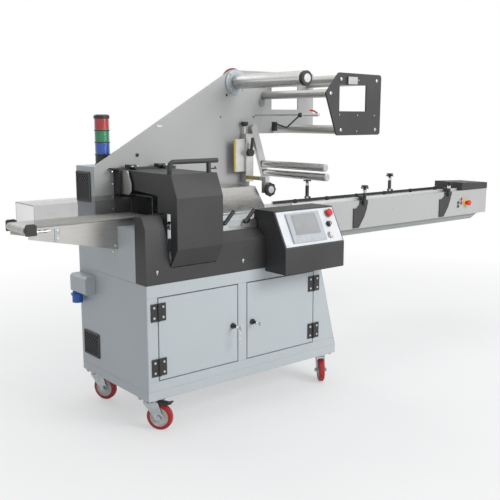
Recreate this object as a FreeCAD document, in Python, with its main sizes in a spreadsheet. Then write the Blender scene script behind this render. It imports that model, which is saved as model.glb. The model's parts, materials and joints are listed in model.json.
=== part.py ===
"""Horizontal flow wrapper: a film wrapping machine on castors, built as separate named pieces.

Lengths are in millimetres. X runs along the product's path from the outfeed belt to the infeed table,
Y runs from the operator's side to the rear, and Z is up. The places below are counted from the cabinet's
left end, its front face and the floor. `placed` moves every piece by the same two shifts, so that the
origin lies under the centre of the whole machine.
"""
import FreeCAD
import Part
import math
import os

import Sketcher

Vector = FreeCAD.Vector
Rotation = FreeCAD.Rotation

doc = FreeCAD.newDocument("FlowWrapper")
sheet = doc.addObject("Spreadsheet::Sheet", "Sizes")
nodes = {}
brackets = []


# ---------------------------------------------------------------- values and expressions

class Term:
    """A length with the expression that gives it, so that sums of sheet values stay bound."""

    def __init__(self, text, value):
        self.text = text
        self.value = float(value)

    def __add__(self, other):
        return join(self, "+", other)

    def __radd__(self, other):
        return join(other, "+", self)

    def __sub__(self, other):
        return join(self, "-", other)

    def __rsub__(self, other):
        return join(other, "-", self)

    def __mul__(self, other):
        return join(self, "*", other)

    def __rmul__(self, other):
        return join(other, "*", self)

    def __truediv__(self, other):
        return join(self, "/", other)

    def __neg__(self):
        return join(0, "-", self)


def term(value):
    if isinstance(value, Term):
        return value
    return Term(repr(float(value)), value)


def join(left, sign, right):
    left = term(left)
    right = term(right)
    result = {
        "+": left.value + right.value,
        "-": left.value - right.value,
        "*": left.value * right.value,
        "/": left.value / right.value if right.value else 0.0,
    }[sign]
    return Term(f"({left.text} {sign} {right.text})", result)


def root(value):
    return Term(f"sqrt({value.text})", math.sqrt(value.value))


def size(name, value):
    """Writes one driving dimension into the sheet and returns it as a term."""
    row = size.rows = size.rows + 1
    sheet.set(f"A{row}", str(value))
    sheet.setAlias(f"A{row}", name)
    return Term(f"Sizes.{name}", value)


size.rows = 0


# ---------------------------------------------------------------- driving dimensions

# Cabinet
cabinet_length = size("cabinet_length", 1203)
cabinet_depth = size("cabinet_depth", 639)
cabinet_top = size("cabinet_top", 697)
base_bottom = size("base_bottom", 156)
base_height = size("base_height", 44)
sheet_wall = size("sheet_wall", 3)
end_slope = size("end_slope", 132)
frame_depth = size("frame_depth", 30)
door_bottom = size("door_bottom", 245)
door_top = size("door_top", 639)
left_door_start = size("left_door_start", 57)
left_door_end = size("left_door_end", 520)
right_door_start = size("right_door_start", 573)
right_door_end = size("right_door_end", 1032)
door_gap = size("door_gap", 5)
door_thickness = size("door_thickness", 20)
door_skin = size("door_skin", 2)
hinge_leaf = size("hinge_leaf", 39)
hinge_height = size("hinge_height", 82)
hinge_thickness = size("hinge_thickness", 5)
knuckle_radius = size("knuckle_radius", 6)
hinge_rise = size("hinge_rise", 27)
lock_radius = size("lock_radius", 14)
lock_reach = size("lock_reach", 10)
lock_inset = size("lock_inset", 30)

# Castors
wheel_radius = size("wheel_radius", 62.5)
wheel_width = size("wheel_width", 32)
hub_radius = size("hub_radius", 45)
castor_trail = size("castor_trail", 38)
castor_inset_x = size("castor_inset_x", 55)
castor_inset_y = size("castor_inset_y", 62)
castor_plate_length = size("castor_plate_length", 105)
castor_plate_width = size("castor_plate_width", 85)
castor_plate_thick = size("castor_plate_thick", 4)
fork_gap = size("fork_gap", 3)
fork_wall = size("fork_wall", 3)
axle_radius = size("axle_radius", 5)
running_gap = size("running_gap", 0.3)

# Bed, fascia and electrical box
bed_length = size("bed_length", 1071)
bed_top = size("bed_top", 940)
fascia_depth = size("fascia_depth", 89)
fascia_step = size("fascia_step", 953)
fascia_high = size("fascia_high", 1005)
fascia_low_step = size("fascia_low_step", 851)
fascia_low = size("fascia_low", 895)
fascia_bevel = size("fascia_bevel", 30)
fascia_low_bevel = size("fascia_low_bevel", 60)
jaw_left = size("jaw_left", 131)
jaw_right = size("jaw_right", 385)
recess_bottom = size("recess_bottom", 764)
recess_flare = size("recess_flare", 34)
box_length = size("box_length", 700)
box_top = size("box_top", 1205)
box_rear = size("box_rear", 635)

# Jaw cover and what lies behind it
cover_front = size("cover_front", 60)
cover_chin = size("cover_chin", 856)
cover_tip = size("cover_tip", 770)
cover_brow = size("cover_brow", 1085)
cover_brow_run = size("cover_brow_run", 45)
cover_top = size("cover_top", 1187)
cover_rear = size("cover_rear", 385)
cover_skirt = size("cover_skirt", 98)
cover_wall = size("cover_wall", 3)
cover_axis_y = size("cover_axis_y", 392)
cover_axis_z = size("cover_axis_z", 1204)
cover_knuckle = size("cover_knuckle", 8)
handle_radius = size("handle_radius", 11)
handle_rise = size("handle_rise", 54)
handle_bend = size("handle_bend", 24)
handle_overhang = size("handle_overhang", 50)
housing_front = size("housing_front", 395)
jaw_centre = size("jaw_centre", 275)
jaw_reach = size("jaw_reach", 60)
jaw_width = size("jaw_width", 150)
product_line = size("product_line", 985)

# Outfeed conveyor
outfeed_reach = size("outfeed_reach", 450)
belt_top = size("belt_top", 977)
belt_end = size("belt_end", 192)
belt_thickness = size("belt_thickness", 3)
belt_roller = size("belt_roller", 14)
conveyor_front = size("conveyor_front", 240)
conveyor_width = size("conveyor_width", 200)
conveyor_plate = size("conveyor_plate", 3)
plate_nose = size("plate_nose", 430)
plate_drop = size("plate_drop", 46)
plate_heel = size("plate_heel", 834)
guard_length = size("guard_length", 590)
guard_height = size("guard_height", 1067)
guard_wall = size("guard_wall", 5)

# Film stand
stand_front = size("stand_front", 451)
stand_thickness = size("stand_thickness", 10)
stand_slope_start = size("stand_slope_start", 830)
stand_right = size("stand_right", 1445)
stand_top = size("stand_top", 1688)
stand_foot = size("stand_foot", 950)
stand_neck = size("stand_neck", 980)
stand_under = size("stand_under", 1350)
tube_radius = size("tube_radius", 21)
front_plate_y = size("front_plate_y", -70)
reel_x = size("reel_x", 861)
reel_z = size("reel_z", 1625)
reel_radius = size("reel_radius", 37.5)
reel_end = size("reel_end", -90)
reel_journal = size("reel_journal", 20)
reel_slot = size("reel_slot", 8)
flange_radius = size("flange_radius", 67)
flange_thick = size("flange_thick", 15)
brake_radius = size("brake_radius", 75)
brake_thick = size("brake_thick", 14)
knob_length = size("knob_length", 21)
idler_radius = size("idler_radius", 20)
idler_end = size("idler_end", -75)
arm_width = size("arm_width", 41)
arm_thickness = size("arm_thickness", 25)
arm_gap = size("arm_gap", 6)
sensor_x = size("sensor_x", 1000)
sensor_z = size("sensor_z", 1450)
sensor_rod = size("sensor_rod", 4)

# Operator panel
panel_left = size("panel_left", 693)
panel_right = size("panel_right", 1097)
panel_reach = size("panel_reach", 153)
panel_bottom = size("panel_bottom", 680)
panel_sill = size("panel_sill", 808)
panel_top = size("panel_top", 985)
panel_brow = size("panel_brow", 60)
panel_margin = size("panel_margin", 8)
panel_sheet = size("panel_sheet", 2)
screen_width = size("screen_width", 224)
screen_start = size("screen_start", 60)

# Infeed table
infeed_reach = size("infeed_reach", 2945)
table_front = size("table_front", 239)
table_rear = size("table_rear", 461)
table_top = size("table_top", 949)
table_bottom = size("table_bottom", 781)
channel_depth = size("channel_depth", 36)
channel_inset = size("channel_inset", 22)
chain_slot = size("chain_slot", 16)
slot_depth = size("slot_depth", 14)
lug_pitch = size("lug_pitch", 257)
lug_start = size("lug_start", 1216)
lug_height = size("lug_height", 29)
end_cover_start = size("end_cover_start", 2650)
end_cover_top = size("end_cover_top", 1003)

# Signal tower
tower_x = size("tower_x", 109)
tower_y = size("tower_y", 560)
lamp_radius = size("lamp_radius", 36)
lamp_height = size("lamp_height", 55)
lamp_ring = size("lamp_ring", 4)
tower_base = size("tower_base", 50)

shift_x = (outfeed_reach - infeed_reach) / 2
shift_y = (panel_reach - cabinet_depth) / 2


# ---------------------------------------------------------------- helpers

def bind(obj, prop, value):
    """Sets a property, and binds it to the sheet where the value is a term."""
    if isinstance(value, Term):
        obj.setExpression(prop, value.text)
    else:
        setattr(obj, prop, value)


def placed(obj, x=0.0, y=0.0, z=0.0, turn=None):
    """Puts an object at a place counted from the cabinet's left end, front face and floor."""
    spot = [term(x) + shift_x, term(y) + shift_y, term(z)]
    obj.Placement = FreeCAD.Placement(Vector(*[part.value for part in spot]), turn or Rotation())
    for axis, part in zip("xyz", spot):
        obj.setExpression(f"Placement.Base.{axis}", part.text)
    return obj


def box(x, y, z, length, width, height):
    obj = doc.addObject("Part::Box", "Box")
    bind(obj, "Length", length)
    bind(obj, "Width", width)
    bind(obj, "Height", height)
    return placed(obj, x, y, z)


def span(x0, x1, y0, y1, z0, z1):
    """A box between two corners."""
    return box(x0, y0, z0, term(x1) - x0, term(y1) - y0, term(z1) - z0)


TURNS = {
    "x": Rotation(Vector(0, 1, 0), 90),
    "y": Rotation(Vector(1, 0, 0), -90),
    "z": Rotation(),
}


def rod(axis, x, y, z, radius, length):
    """A cylinder that starts at a place and runs along an axis."""
    obj = doc.addObject("Part::Cylinder", "Rod")
    bind(obj, "Radius", radius)
    bind(obj, "Height", length)
    return placed(obj, x, y, z, TURNS[axis])


def strut(start, end, radius):
    """A round bar between two places."""
    values = [Vector(*[term(part).value for part in spot]) for spot in (start, end)]
    run = values[1] - values[0]
    obj = doc.addObject("Part::Cylinder", "Strut")
    bind(obj, "Radius", radius)
    obj.Height = run.Length
    return placed(obj, *start, Rotation(Vector(0, 0, 1), run))


def cut(base, *tools):
    obj = doc.addObject("Part::Cut", "Cut")
    obj.Base = base
    obj.Tool = tools[0] if len(tools) == 1 else fuse(*tools)
    return obj


def fuse(*parts):
    obj = doc.addObject("Part::MultiFuse", "Fuse")
    obj.Shapes = list(parts)
    return obj


def common(*parts):
    obj = doc.addObject("Part::MultiCommon", "Common")
    obj.Shapes = list(parts)
    return obj


def group(*parts):
    """Like pieces that don't touch each other, as one object."""
    obj = doc.addObject("Part::Compound", "Group")
    obj.Links = list(parts)
    return obj


def node(name, obj):
    """Names a finished piece."""
    obj.Label = name
    nodes[name] = obj
    return obj


def plane_of(body, role):
    return next(part for part in body.Origin.OriginFeatures if part.Role == role)


def drawn(body, role, outline, holes=()):
    """Draws a closed outline with its holes; each corner is bound to its own terms."""
    sketch = body.newObject("Sketcher::SketchObject", "Profile")
    sketch.AttachmentSupport = (plane_of(body, role), [""])
    sketch.MapMode = "FlatFace"
    for loop in [outline, *holes]:
        if loop[0] == "circle":
            draw_circle(sketch, *loop[1:])
        else:
            draw_polygon(sketch, loop)
    return sketch


def constrain(sketch, value, *details):
    """Adds one dimension and binds it."""
    value = term(value)
    index = sketch.addConstraint(Sketcher.Constraint(*details, value.value))
    sketch.setExpression(f"Constraints[{index}]", value.text)


def draw_circle(sketch, u, v, radius):
    centre = Vector(term(u).value, term(v).value, 0)
    edge = sketch.addGeometry(Part.Circle(centre, Vector(0, 0, 1), term(radius).value), False)
    constrain(sketch, u, "DistanceX", -1, 1, edge, 3)
    constrain(sketch, v, "DistanceY", -1, 1, edge, 3)
    constrain(sketch, radius, "Radius", edge)


def draw_polygon(sketch, corners):
    points = [Vector(term(u).value, term(v).value, 0) for u, v in corners]
    edges = []
    for here, there in zip(points, points[1:] + points[:1]):
        edges.append(sketch.addGeometry(Part.LineSegment(here, there), False))
    for edge, following in zip(edges, edges[1:] + edges[:1]):
        sketch.addConstraint(Sketcher.Constraint("Coincident", edge, 2, following, 1))
    for edge, (u, v) in zip(edges, corners):
        constrain(sketch, u, "DistanceX", -1, 1, edge, 1)
        constrain(sketch, v, "DistanceY", -1, 1, edge, 1)


PLANES = {"x": "YZ_Plane", "y": "XZ_Plane", "z": "XY_Plane"}


def plate(axis, start, depth, outline, holes=(), radius=None, corners=()):
    """An outline that is carried along an axis from `start` for `depth`.

    Across X the outline is (y, z), across Y it is (x, z), and across Z it is (x, y). `corners` numbers
    the outline's corners that `radius` rounds.
    """
    body = doc.addObject("PartDesign::Body", "Plate")
    sketch = drawn(body, PLANES[axis], outline, holes)
    pad = body.newObject("PartDesign::Pad", "Pad")
    pad.Profile = sketch
    bind(pad, "Length", term(depth))
    pad.Reversed = axis == "y"
    sketch.Visibility = False
    if corners:
        round_corners(body, pad, axis, [outline[number] for number in corners], radius)
    place = {"x": 0.0, "y": 0.0, "z": 0.0}
    place[axis] = start
    return placed(body, **place)


def round_corners(body, pad, axis, corners, radius):
    """Rounds the edges that run along the pad from the given corners."""
    doc.recompute()
    spots = [(term(u).value, term(v).value) for u, v in corners]
    pick = {"x": lambda p: (p.y, p.z), "y": lambda p: (p.x, p.z), "z": lambda p: (p.x, p.y)}[axis]
    names = []
    for number, edge in enumerate(pad.Shape.Edges, 1):
        ends = [pick(vertex.Point) for vertex in edge.Vertexes]
        if len(ends) == 2 and math.dist(*ends) < 1e-6:
            if any(math.dist(ends[0], spot) < 1e-3 for spot in spots):
                names.append(f"Edge{number}")
    fillet = body.newObject("PartDesign::Fillet", "Corners")
    fillet.Base = (pad, names)
    bind(fillet, "Radius", term(radius))


def turned(axis, x, y, z, outline, turn=None):
    """A turned piece: the outline is (distance along the axis, distance from it)."""
    body = doc.addObject("PartDesign::Body", "Turned")
    role = {"x": "XZ_Plane", "y": "YZ_Plane", "z": "XZ_Plane"}[axis]
    points = [(radius, along) if axis == "z" else (along, radius) for along, radius in outline]
    sketch = drawn(body, role, points)
    revolution = body.newObject("PartDesign::Revolution", "Revolution")
    revolution.Profile = sketch
    revolution.ReferenceAxis = (sketch, ["V_Axis" if axis == "z" else "H_Axis"])
    revolution.Angle = 360
    sketch.Visibility = False
    return placed(body, x, y, z, turn)


# ---------------------------------------------------------------- cabinet

base_top = base_bottom + base_height
slope_height = cabinet_top - base_top
jaw_mid = (jaw_left + jaw_right) / 2


def end_at(height):
    """How far the sloping right end reaches at a height."""
    return cabinet_length - end_slope * (height - base_top) / slope_height


def build_cabinet():
    node("base_frame", span(0, cabinet_length, 0, cabinet_depth, base_bottom, base_top))
    left_end = span(0, sheet_wall, 0, cabinet_depth, base_top, cabinet_top)
    right_end = plate("y", 0, cabinet_depth, [
        (end_at(base_top) - sheet_wall, base_top),
        (end_at(base_top), base_top),
        (end_at(cabinet_top), cabinet_top),
        (end_at(cabinet_top) - sheet_wall, cabinet_top),
    ])
    node("cabinet_ends", group(left_end, right_end))
    node("cabinet_back", plate("y", cabinet_depth - sheet_wall, sheet_wall, [
        (sheet_wall, base_top),
        (end_at(base_top) - sheet_wall, base_top),
        (end_at(cabinet_top) - sheet_wall, cabinet_top),
        (sheet_wall, cabinet_top),
    ]))
    rails = []
    for low, high in ((base_top, door_bottom), (door_top, cabinet_top)):
        rails.append(plate("y", 0, frame_depth, [
            (sheet_wall, low),
            (end_at(low) - sheet_wall, low),
            (end_at(high) - sheet_wall, high),
            (sheet_wall, high),
        ]))
    node("front_rails", group(*rails))
    node("front_posts", group(
        span(sheet_wall, left_door_start, 0, frame_depth, door_bottom, door_top),
        span(left_door_end, right_door_start, 0, frame_depth, door_bottom, door_top),
        plate("y", 0, frame_depth, [
            (right_door_end, door_bottom),
            (end_at(door_bottom) - sheet_wall, door_bottom),
            (end_at(door_top) - sheet_wall, door_top),
            (right_door_end, door_top),
        ]),
    ))


def hinge_leaf_piece(axis_x, side, low, holds_middle):
    """One leaf of a hinge with its knuckles; `side` is the way that the leaf runs from the pin."""
    third = hinge_height / 3
    back = knuckle_radius + 1.5
    if holds_middle:
        parts = [(low + third + running_gap, third - 2 * running_gap)]
    else:
        parts = [(low, third), (low + 2 * third, third)]
    leaf_start = axis_x + back if side > 0 else axis_x - hinge_leaf
    leaf = box(leaf_start, -hinge_thickness, low, hinge_leaf - back, hinge_thickness, hinge_height)
    pieces = [leaf]
    for bottom, height in parts:
        web_start = axis_x if side > 0 else axis_x - back
        pieces.append(box(web_start, -hinge_thickness, bottom, back, hinge_thickness - 1, height))
        pieces.append(rod("z", axis_x, -knuckle_radius, bottom, knuckle_radius, height))
    return fuse(*pieces)


def build_door(name, start, end, hinge_x, side):
    """A folded sheet door with its lock, and the leaves that carry it."""
    outer = span(start + door_gap, end - door_gap, 0, door_thickness,
                 door_bottom + door_gap, door_top - door_gap)
    hollow = span(start + door_gap + door_skin, end - door_gap - door_skin, door_skin, door_thickness + 1,
                  door_bottom + door_gap + door_skin, door_top - door_gap - door_skin)
    node(f"{name}_door", cut(outer, hollow))
    lock_x = end - door_gap - lock_inset if side > 0 else start + door_gap + lock_inset
    middle = (door_bottom + door_top) / 2 - 8
    lock = turned("y", lock_x, 0, middle, [
        (-lock_reach, 0), (-lock_reach, lock_radius - 2), (-lock_reach + 2, lock_radius),
        (0, lock_radius), (0, 0),
    ])
    key = fuse(
        box(lock_x - 1, -lock_reach - 12, middle - 3, 2, 12, 6),
        rod("x", lock_x - 1.2, -lock_reach - 18, middle, 9, 2.4),
    )
    fittings = [fuse(lock, key)]
    for low in hinge_lows():
        fittings.append(hinge_leaf_piece(hinge_x, side, low, False))
    node(f"{name}_door_fittings", group(*fittings))


def hinge_lows():
    return (door_bottom + hinge_rise, door_top - hinge_rise - hinge_height)


def build_doors():
    left_pin = left_door_start + door_gap / 2
    right_pin = right_door_end - door_gap / 2
    build_door("left", left_door_start, left_door_end, left_pin, 1)
    build_door("right", right_door_start, right_door_end, right_pin, -1)
    leaves = []
    for low in hinge_lows():
        leaves.append(hinge_leaf_piece(left_pin, -1, low, True))
        leaves.append(hinge_leaf_piece(right_pin, 1, low, True))
    node("hinge_frame_leaves", group(*leaves))


def fan_grille(y, z, width, height):
    """A filter grille: a rounded frame round a lattice of crossed bars on a backing sheet."""
    border = 9.0
    rise = 5.0
    bar = 3.0
    pitch = 15.0
    frame = plate("x", -rise, rise, [(y, z), (y + width, z), (y + width, z + height), (y, z + height)],
                  [[(y + border, z + border), (y + width - border, z + border),
                    (y + width - border, z + height - border), (y + border, z + height - border)]],
                  8.0, (0, 1, 2, 3))
    backing = box(-1, y + border - 1, z + border - 1, 1, width - 2 * border + 2, height - 2 * border + 2)
    window = box(-rise + 1, y + border - 1, z + border - 1, rise - 1,
                 width - 2 * border + 2, height - 2 * border + 2)
    bars = []
    reach = term(width).value + term(height).value
    count = int(reach / 2 / pitch)
    for turn in (45, -45):
        for step in range(-count, count + 1):
            strip = doc.addObject("Part::Box", "Bar")
            strip.Length = rise - 1
            strip.Width = bar
            strip.Height = reach
            spin = Rotation(Vector(1, 0, 0), turn)
            offset = spin.multVec(Vector(0, step * pitch - bar / 2, -reach / 2))
            placed(strip, -rise + 1, y + width / 2 + offset.y, z + height / 2 + offset.z, spin)
            bars.append(strip)
    return fuse(frame, backing, common(window, fuse(*bars)))


def build_grilles():
    node("fan_grilles", group(
        fan_grille(term(450), term(250), term(158), term(125)),
        fan_grille(term(487), term(1030), term(145), term(148)),
    ))


def build_power_inlet():
    reach = 55
    node("inlet_box", plate("y", 475, 164, [
        (-reach, 580), (-reach, 655), (-reach + 12, 667), (0, 667), (0, 575), (-reach + 12, 575),
    ]))
    node("power_inlet", turned("z", -reach / 2 - 6.5, 605, 520, [
        (0, 0), (0, 27), (38, 27), (38, 33), (46, 33), (46, 24), (55, 24), (55, 0),
    ]))


# ---------------------------------------------------------------- castors

CASTORS = {
    "front_left": (0, 0, -53.0),
    "rear_left": (0, 1, -63.0),
    "front_right": (1, 0, -126.0),
    "rear_right": (1, 1, -116.0),
}


def swivel_place(right, rear):
    x = cabinet_length - castor_inset_x if right else castor_inset_x
    y = cabinet_depth - castor_inset_y if rear else castor_inset_y
    return x, y


def local_body(x, y, z, angle):
    """The place and turn of a castor's own axes."""
    return {"x": x, "y": y, "z": z, "turn": Rotation(Vector(0, 0, 1), angle)}


def castor_fork(x, y, angle, braked):
    """A pressed fork: two tapered cheeks under a crown, a swivel head and the axle bolt."""
    crown = 2 * wheel_radius + 11
    half = wheel_width / 2 + fork_gap + fork_wall
    body = doc.addObject("PartDesign::Body", "Fork")
    nose = 14
    sketch = drawn(body, "XZ_Plane", [
        (-36, crown), (-36, crown - 9), (castor_trail - nose, wheel_radius - nose),
        (castor_trail + nose, wheel_radius - nose), (castor_trail + nose + 4, wheel_radius + nose),
        (38, crown - 9), (36, crown),
    ])
    pad = body.newObject("PartDesign::Pad", "Pad")
    pad.Profile = sketch
    bind(pad, "Length", 2 * half)
    pad.Midplane = True
    sketch.Visibility = False
    placed(body, **local_body(x, y, 0, angle))
    turn = Rotation(Vector(0, 0, 1), angle)
    gap = doc.addObject("Part::Box", "ForkGap")
    gap.Length = 160
    bind(gap, "Width", 2 * half - 2 * fork_wall)
    bind(gap, "Height", crown - 5)
    corner = turn.multVec(Vector(-60, -(half.value - fork_wall.value), 0))
    placed(gap, x + corner.x, y + corner.y, 0, turn)
    head_top = base_bottom - castor_plate_thick - 6 - running_gap
    head = rod("z", x, y, crown - 0.5, 30, head_top - crown + 0.5)
    axle_start = turn.multVec(Vector(castor_trail.value, -half.value - 5, 0))
    axle = doc.addObject("Part::Cylinder", "Axle")
    bind(axle, "Radius", axle_radius)
    bind(axle, "Height", 2 * half + 10)
    spin = turn.multiply(Rotation(Vector(1, 0, 0), -90))
    placed(axle, x + axle_start.x, y + axle_start.y, wheel_radius, spin)
    pieces = [cut(body, gap), head, axle]
    fork = fuse(*pieces)
    if not braked:
        return fork
    pedal = doc.addObject("PartDesign::Body", "Pedal")
    reach = castor_trail + 38
    lever = drawn(pedal, "XZ_Plane", [
        (38.6, crown - 8), (38.6, crown + 1), (reach, crown - 4), (reach + 22, crown + 2),
        (reach + 24, crown - 3), (reach, crown - 12),
    ])
    lift = pedal.newObject("PartDesign::Pad", "Pad")
    lift.Profile = lever
    lift.Length = 40
    lift.Midplane = True
    lever.Visibility = False
    placed(pedal, **local_body(x, y, 0, angle))
    return group(fork, pedal)


def castor_wheel(x, y, angle):
    """A wheel with a dished hub and a rounded tyre, turned about its bore."""
    half = wheel_width / 2
    bore = axle_radius + running_gap
    dish = 6
    turn = Rotation(Vector(0, 0, 1), angle)
    centre = turn.multVec(Vector(castor_trail.value, 0, 0))
    return turned("y", x + centre.x, y + centre.y, wheel_radius, [
        (-half, bore), (-half, 16), (-half + dish, 19), (-half + dish, hub_radius - 5),
        (-half + 1.5, hub_radius - 2), (-half + 1.5, hub_radius), (-half + 0.5, hub_radius),
        (-half + 0.5, wheel_radius - 8), (-half + 6, wheel_radius),
        (half - 6, wheel_radius), (half - 0.5, wheel_radius - 8), (half - 0.5, hub_radius),
        (half - 1.5, hub_radius), (half - 1.5, hub_radius - 2), (half - dish, hub_radius - 5),
        (half - dish, 19), (half, 16), (half, bore),
    ], turn)


def build_castors():
    plates = []
    for name, (right, rear, angle) in CASTORS.items():
        x, y = swivel_place(right, rear)
        top = base_bottom - castor_plate_thick
        mount = box(x - castor_plate_length / 2, y - castor_plate_width / 2, top,
                    castor_plate_length, castor_plate_width, castor_plate_thick)
        plates.append(fuse(mount, rod("z", x, y, top - 6, 32, 7)))
        node(f"castor_fork_{name}", castor_fork(x, y, angle, name == "front_left"))
        node(f"castor_wheel_{name}", castor_wheel(x, y, angle))
    node("castor_plates", group(*plates))


# ---------------------------------------------------------------- bed, fascia and electrical box

def build_bed():
    block = span(0, bed_length, fascia_depth, cabinet_depth, cabinet_top, bed_top)
    pit = span(jaw_left + 6, jaw_right, fascia_depth - 1, housing_front, recess_bottom, bed_top + 1)
    node("machine_bed", cut(block, pit))


def build_fascia():
    high = plate("x", 0, panel_left, [
        (0, cabinet_top), (0, fascia_low_step), (fascia_low_bevel, fascia_low), (fascia_depth, fascia_low),
        (fascia_depth, cabinet_top),
    ])
    tall = plate("x", 0, jaw_mid, [
        (0, cabinet_top), (0, fascia_step), (fascia_bevel, fascia_high), (fascia_depth, fascia_high),
        (fascia_depth, cabinet_top),
    ])
    recess = plate("y", -1, fascia_depth + 2, [
        (jaw_left + 6, recess_bottom),
        (jaw_right, recess_bottom),
        (jaw_right + recess_flare + 12, fascia_low_step),
        (jaw_right + recess_flare + 12, fascia_high + 1),
        (jaw_left - recess_flare + 6, fascia_high + 1),
        (jaw_left - recess_flare + 6, fascia_step),
    ])
    node("front_fascia", cut(fuse(high, tall), recess))


def build_electrical_box():
    rear_face = stand_front + stand_thickness
    node("electrical_box", span(0, box_length, rear_face, box_rear, bed_top, box_top))


def build_signal_tower():
    """A black base, three lamps between rings, and a cap on a central stem."""
    ring_out = lamp_radius + 3
    outline = [(0, 0), (0, ring_out), (8, ring_out), (8, lamp_radius), (tower_base, lamp_radius)]
    height = tower_base
    lamps = []
    for lamp in range(3):
        outline += [(height, ring_out), (height + lamp_ring, ring_out), (height + lamp_ring, 11)]
        start = height + lamp_ring
        lamps.append(turned("z", tower_x, tower_y, box_top, [
            (start, 13), (start, lamp_radius), (start + lamp_height, lamp_radius), (start + lamp_height, 13),
        ]))
        height = start + lamp_height
        outline += [(height, 11)]
    outline += [(height, ring_out), (height + 14, ring_out), (height + 20, ring_out - 8), (height + 20, 0)]
    node("signal_tower", turned("z", tower_x, tower_y, box_top, outline))
    node("signal_lamps", group(*lamps))


# ---------------------------------------------------------------- jaw cover

def build_jaw_cover():
    """A folded hood, open below and behind, with a tubular handle and two hinge knuckles."""
    wall = cover_wall
    hood = plate("x", jaw_left, jaw_right - jaw_left, [
        (-6, cover_tip), (-cover_front, cover_chin), (-cover_front, cover_brow),
        (-cover_front + cover_brow_run, cover_top), (cover_rear, cover_top), (cover_rear, 1150),
        (310, 1097), (cover_skirt, cover_brow), (cover_skirt, fascia_high + 5), (-6, fascia_high + 5),
    ])
    hollow = plate("x", jaw_left + wall, jaw_right - jaw_left - 2 * wall, [
        (-5, cover_tip + 2 * wall), (-cover_front + wall, cover_chin + wall),
        (-cover_front + wall, cover_brow), (-cover_front + cover_brow_run + wall / 2, cover_top - wall),
        (cover_rear + 10, cover_top - wall), (cover_rear + 10, cover_tip + 2 * wall),
    ])
    left = jaw_left + 16
    right = jaw_right - 22
    bar_z = cover_top + handle_rise
    post_y = 20
    bend = doc.addObject("Part::Torus", "HandleBend")
    bind(bend, "Radius1", handle_bend)
    bind(bend, "Radius2", handle_radius)
    bend.Angle3 = 90
    placed(bend, left + handle_bend, post_y, bar_z - handle_bend, Rotation(Vector(1, 0, 0), 90).multiply(
        Rotation(Vector(0, 0, 1), 90)))
    pieces = [
        cut(hood, hollow),
        rod("z", left, post_y, cover_top - 1, handle_radius, handle_rise - handle_bend + 1),
        bend,
        rod("x", left + handle_bend, post_y, bar_z, handle_radius,
            right - left - handle_bend + handle_overhang),
        rod("z", right, post_y, cover_top - 1, handle_radius, handle_rise),
    ]
    for x in knuckle_places():
        pieces.append(rod("x", x + 20.4, cover_axis_y, cover_axis_z, cover_knuckle, 18))
        pieces.append(plate("x", x + 20.4, 18, [
            (cover_rear - 30, cover_top - 0.5), (cover_rear, cover_top - 0.5),
            (cover_axis_y + 1, cover_axis_z - cover_knuckle + 1), (cover_axis_y - 4, cover_axis_z + 5),
            (cover_rear - 30, cover_top + 5),
        ]))
    node("jaw_cover", fuse(*pieces))


def knuckle_places():
    return (jaw_left + 26, jaw_right - 62)


def build_jaw_housing():
    """The black rear housing of the jaws with its top plate and hinge blocks."""
    plate_z = cover_top + 5
    behind_belt = conveyor_front + conveyor_width + 1
    pieces = [
        span(jaw_left - 26, jaw_right + 46, housing_front, stand_front, guard_height + 5, plate_z),
        span(jaw_left - 26, jaw_right + 46, behind_belt, stand_front, bed_top, guard_height + 6),
        span(belt_end + 5, jaw_right + 46, housing_front, stand_front, bed_top, guard_height + 6),
        span(jaw_left - 52, jaw_right + 55, cover_axis_y + cover_knuckle + 2, stand_front,
             plate_z, plate_z + 4),
    ]
    for x in knuckle_places():
        pieces.append(span(x, x + 20, cover_axis_y, cover_axis_y + 38, plate_z + 3.5, plate_z + 19))
        pieces.append(rod("x", x, cover_axis_y, cover_axis_z, cover_knuckle, 20))
    node("jaw_housing", fuse(*pieces))
    node("jaw_bracket", plate("x", jaw_left - 14, 6, [
        (308, 1091), (308, 1130), (340, 1187), (housing_front, 1187), (housing_front, guard_height + 5),
        (330, guard_height + 5),
    ]))


def build_jaws():
    """Two crimping jaws on shafts from the rear housing, one above and one below the film line."""
    jaws = []
    for sign in (1, -1):
        centre = product_line + sign * (jaw_reach + 2)
        length = housing_front - 190
        start = 205
        shaft = rod("y", jaw_centre, 190, centre, 22, length)
        block = span(jaw_centre - 24, jaw_centre + 24, start, start + jaw_width,
                     centre - jaw_reach, centre + jaw_reach)
        jaws.append(fuse(shaft, block))
    node("sealing_jaws", group(*jaws))


# ---------------------------------------------------------------- outfeed conveyor

def stadium(axis_start, depth, x0, x1, z, radius):
    """A flat bar with round ends across Y."""
    return fuse(
        span(x0, x1, axis_start, term(axis_start) + depth, z - radius, z + radius),
        rod("y", x0, axis_start, z, radius, depth),
        rod("y", x1, axis_start, z, radius, depth),
    )


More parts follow.
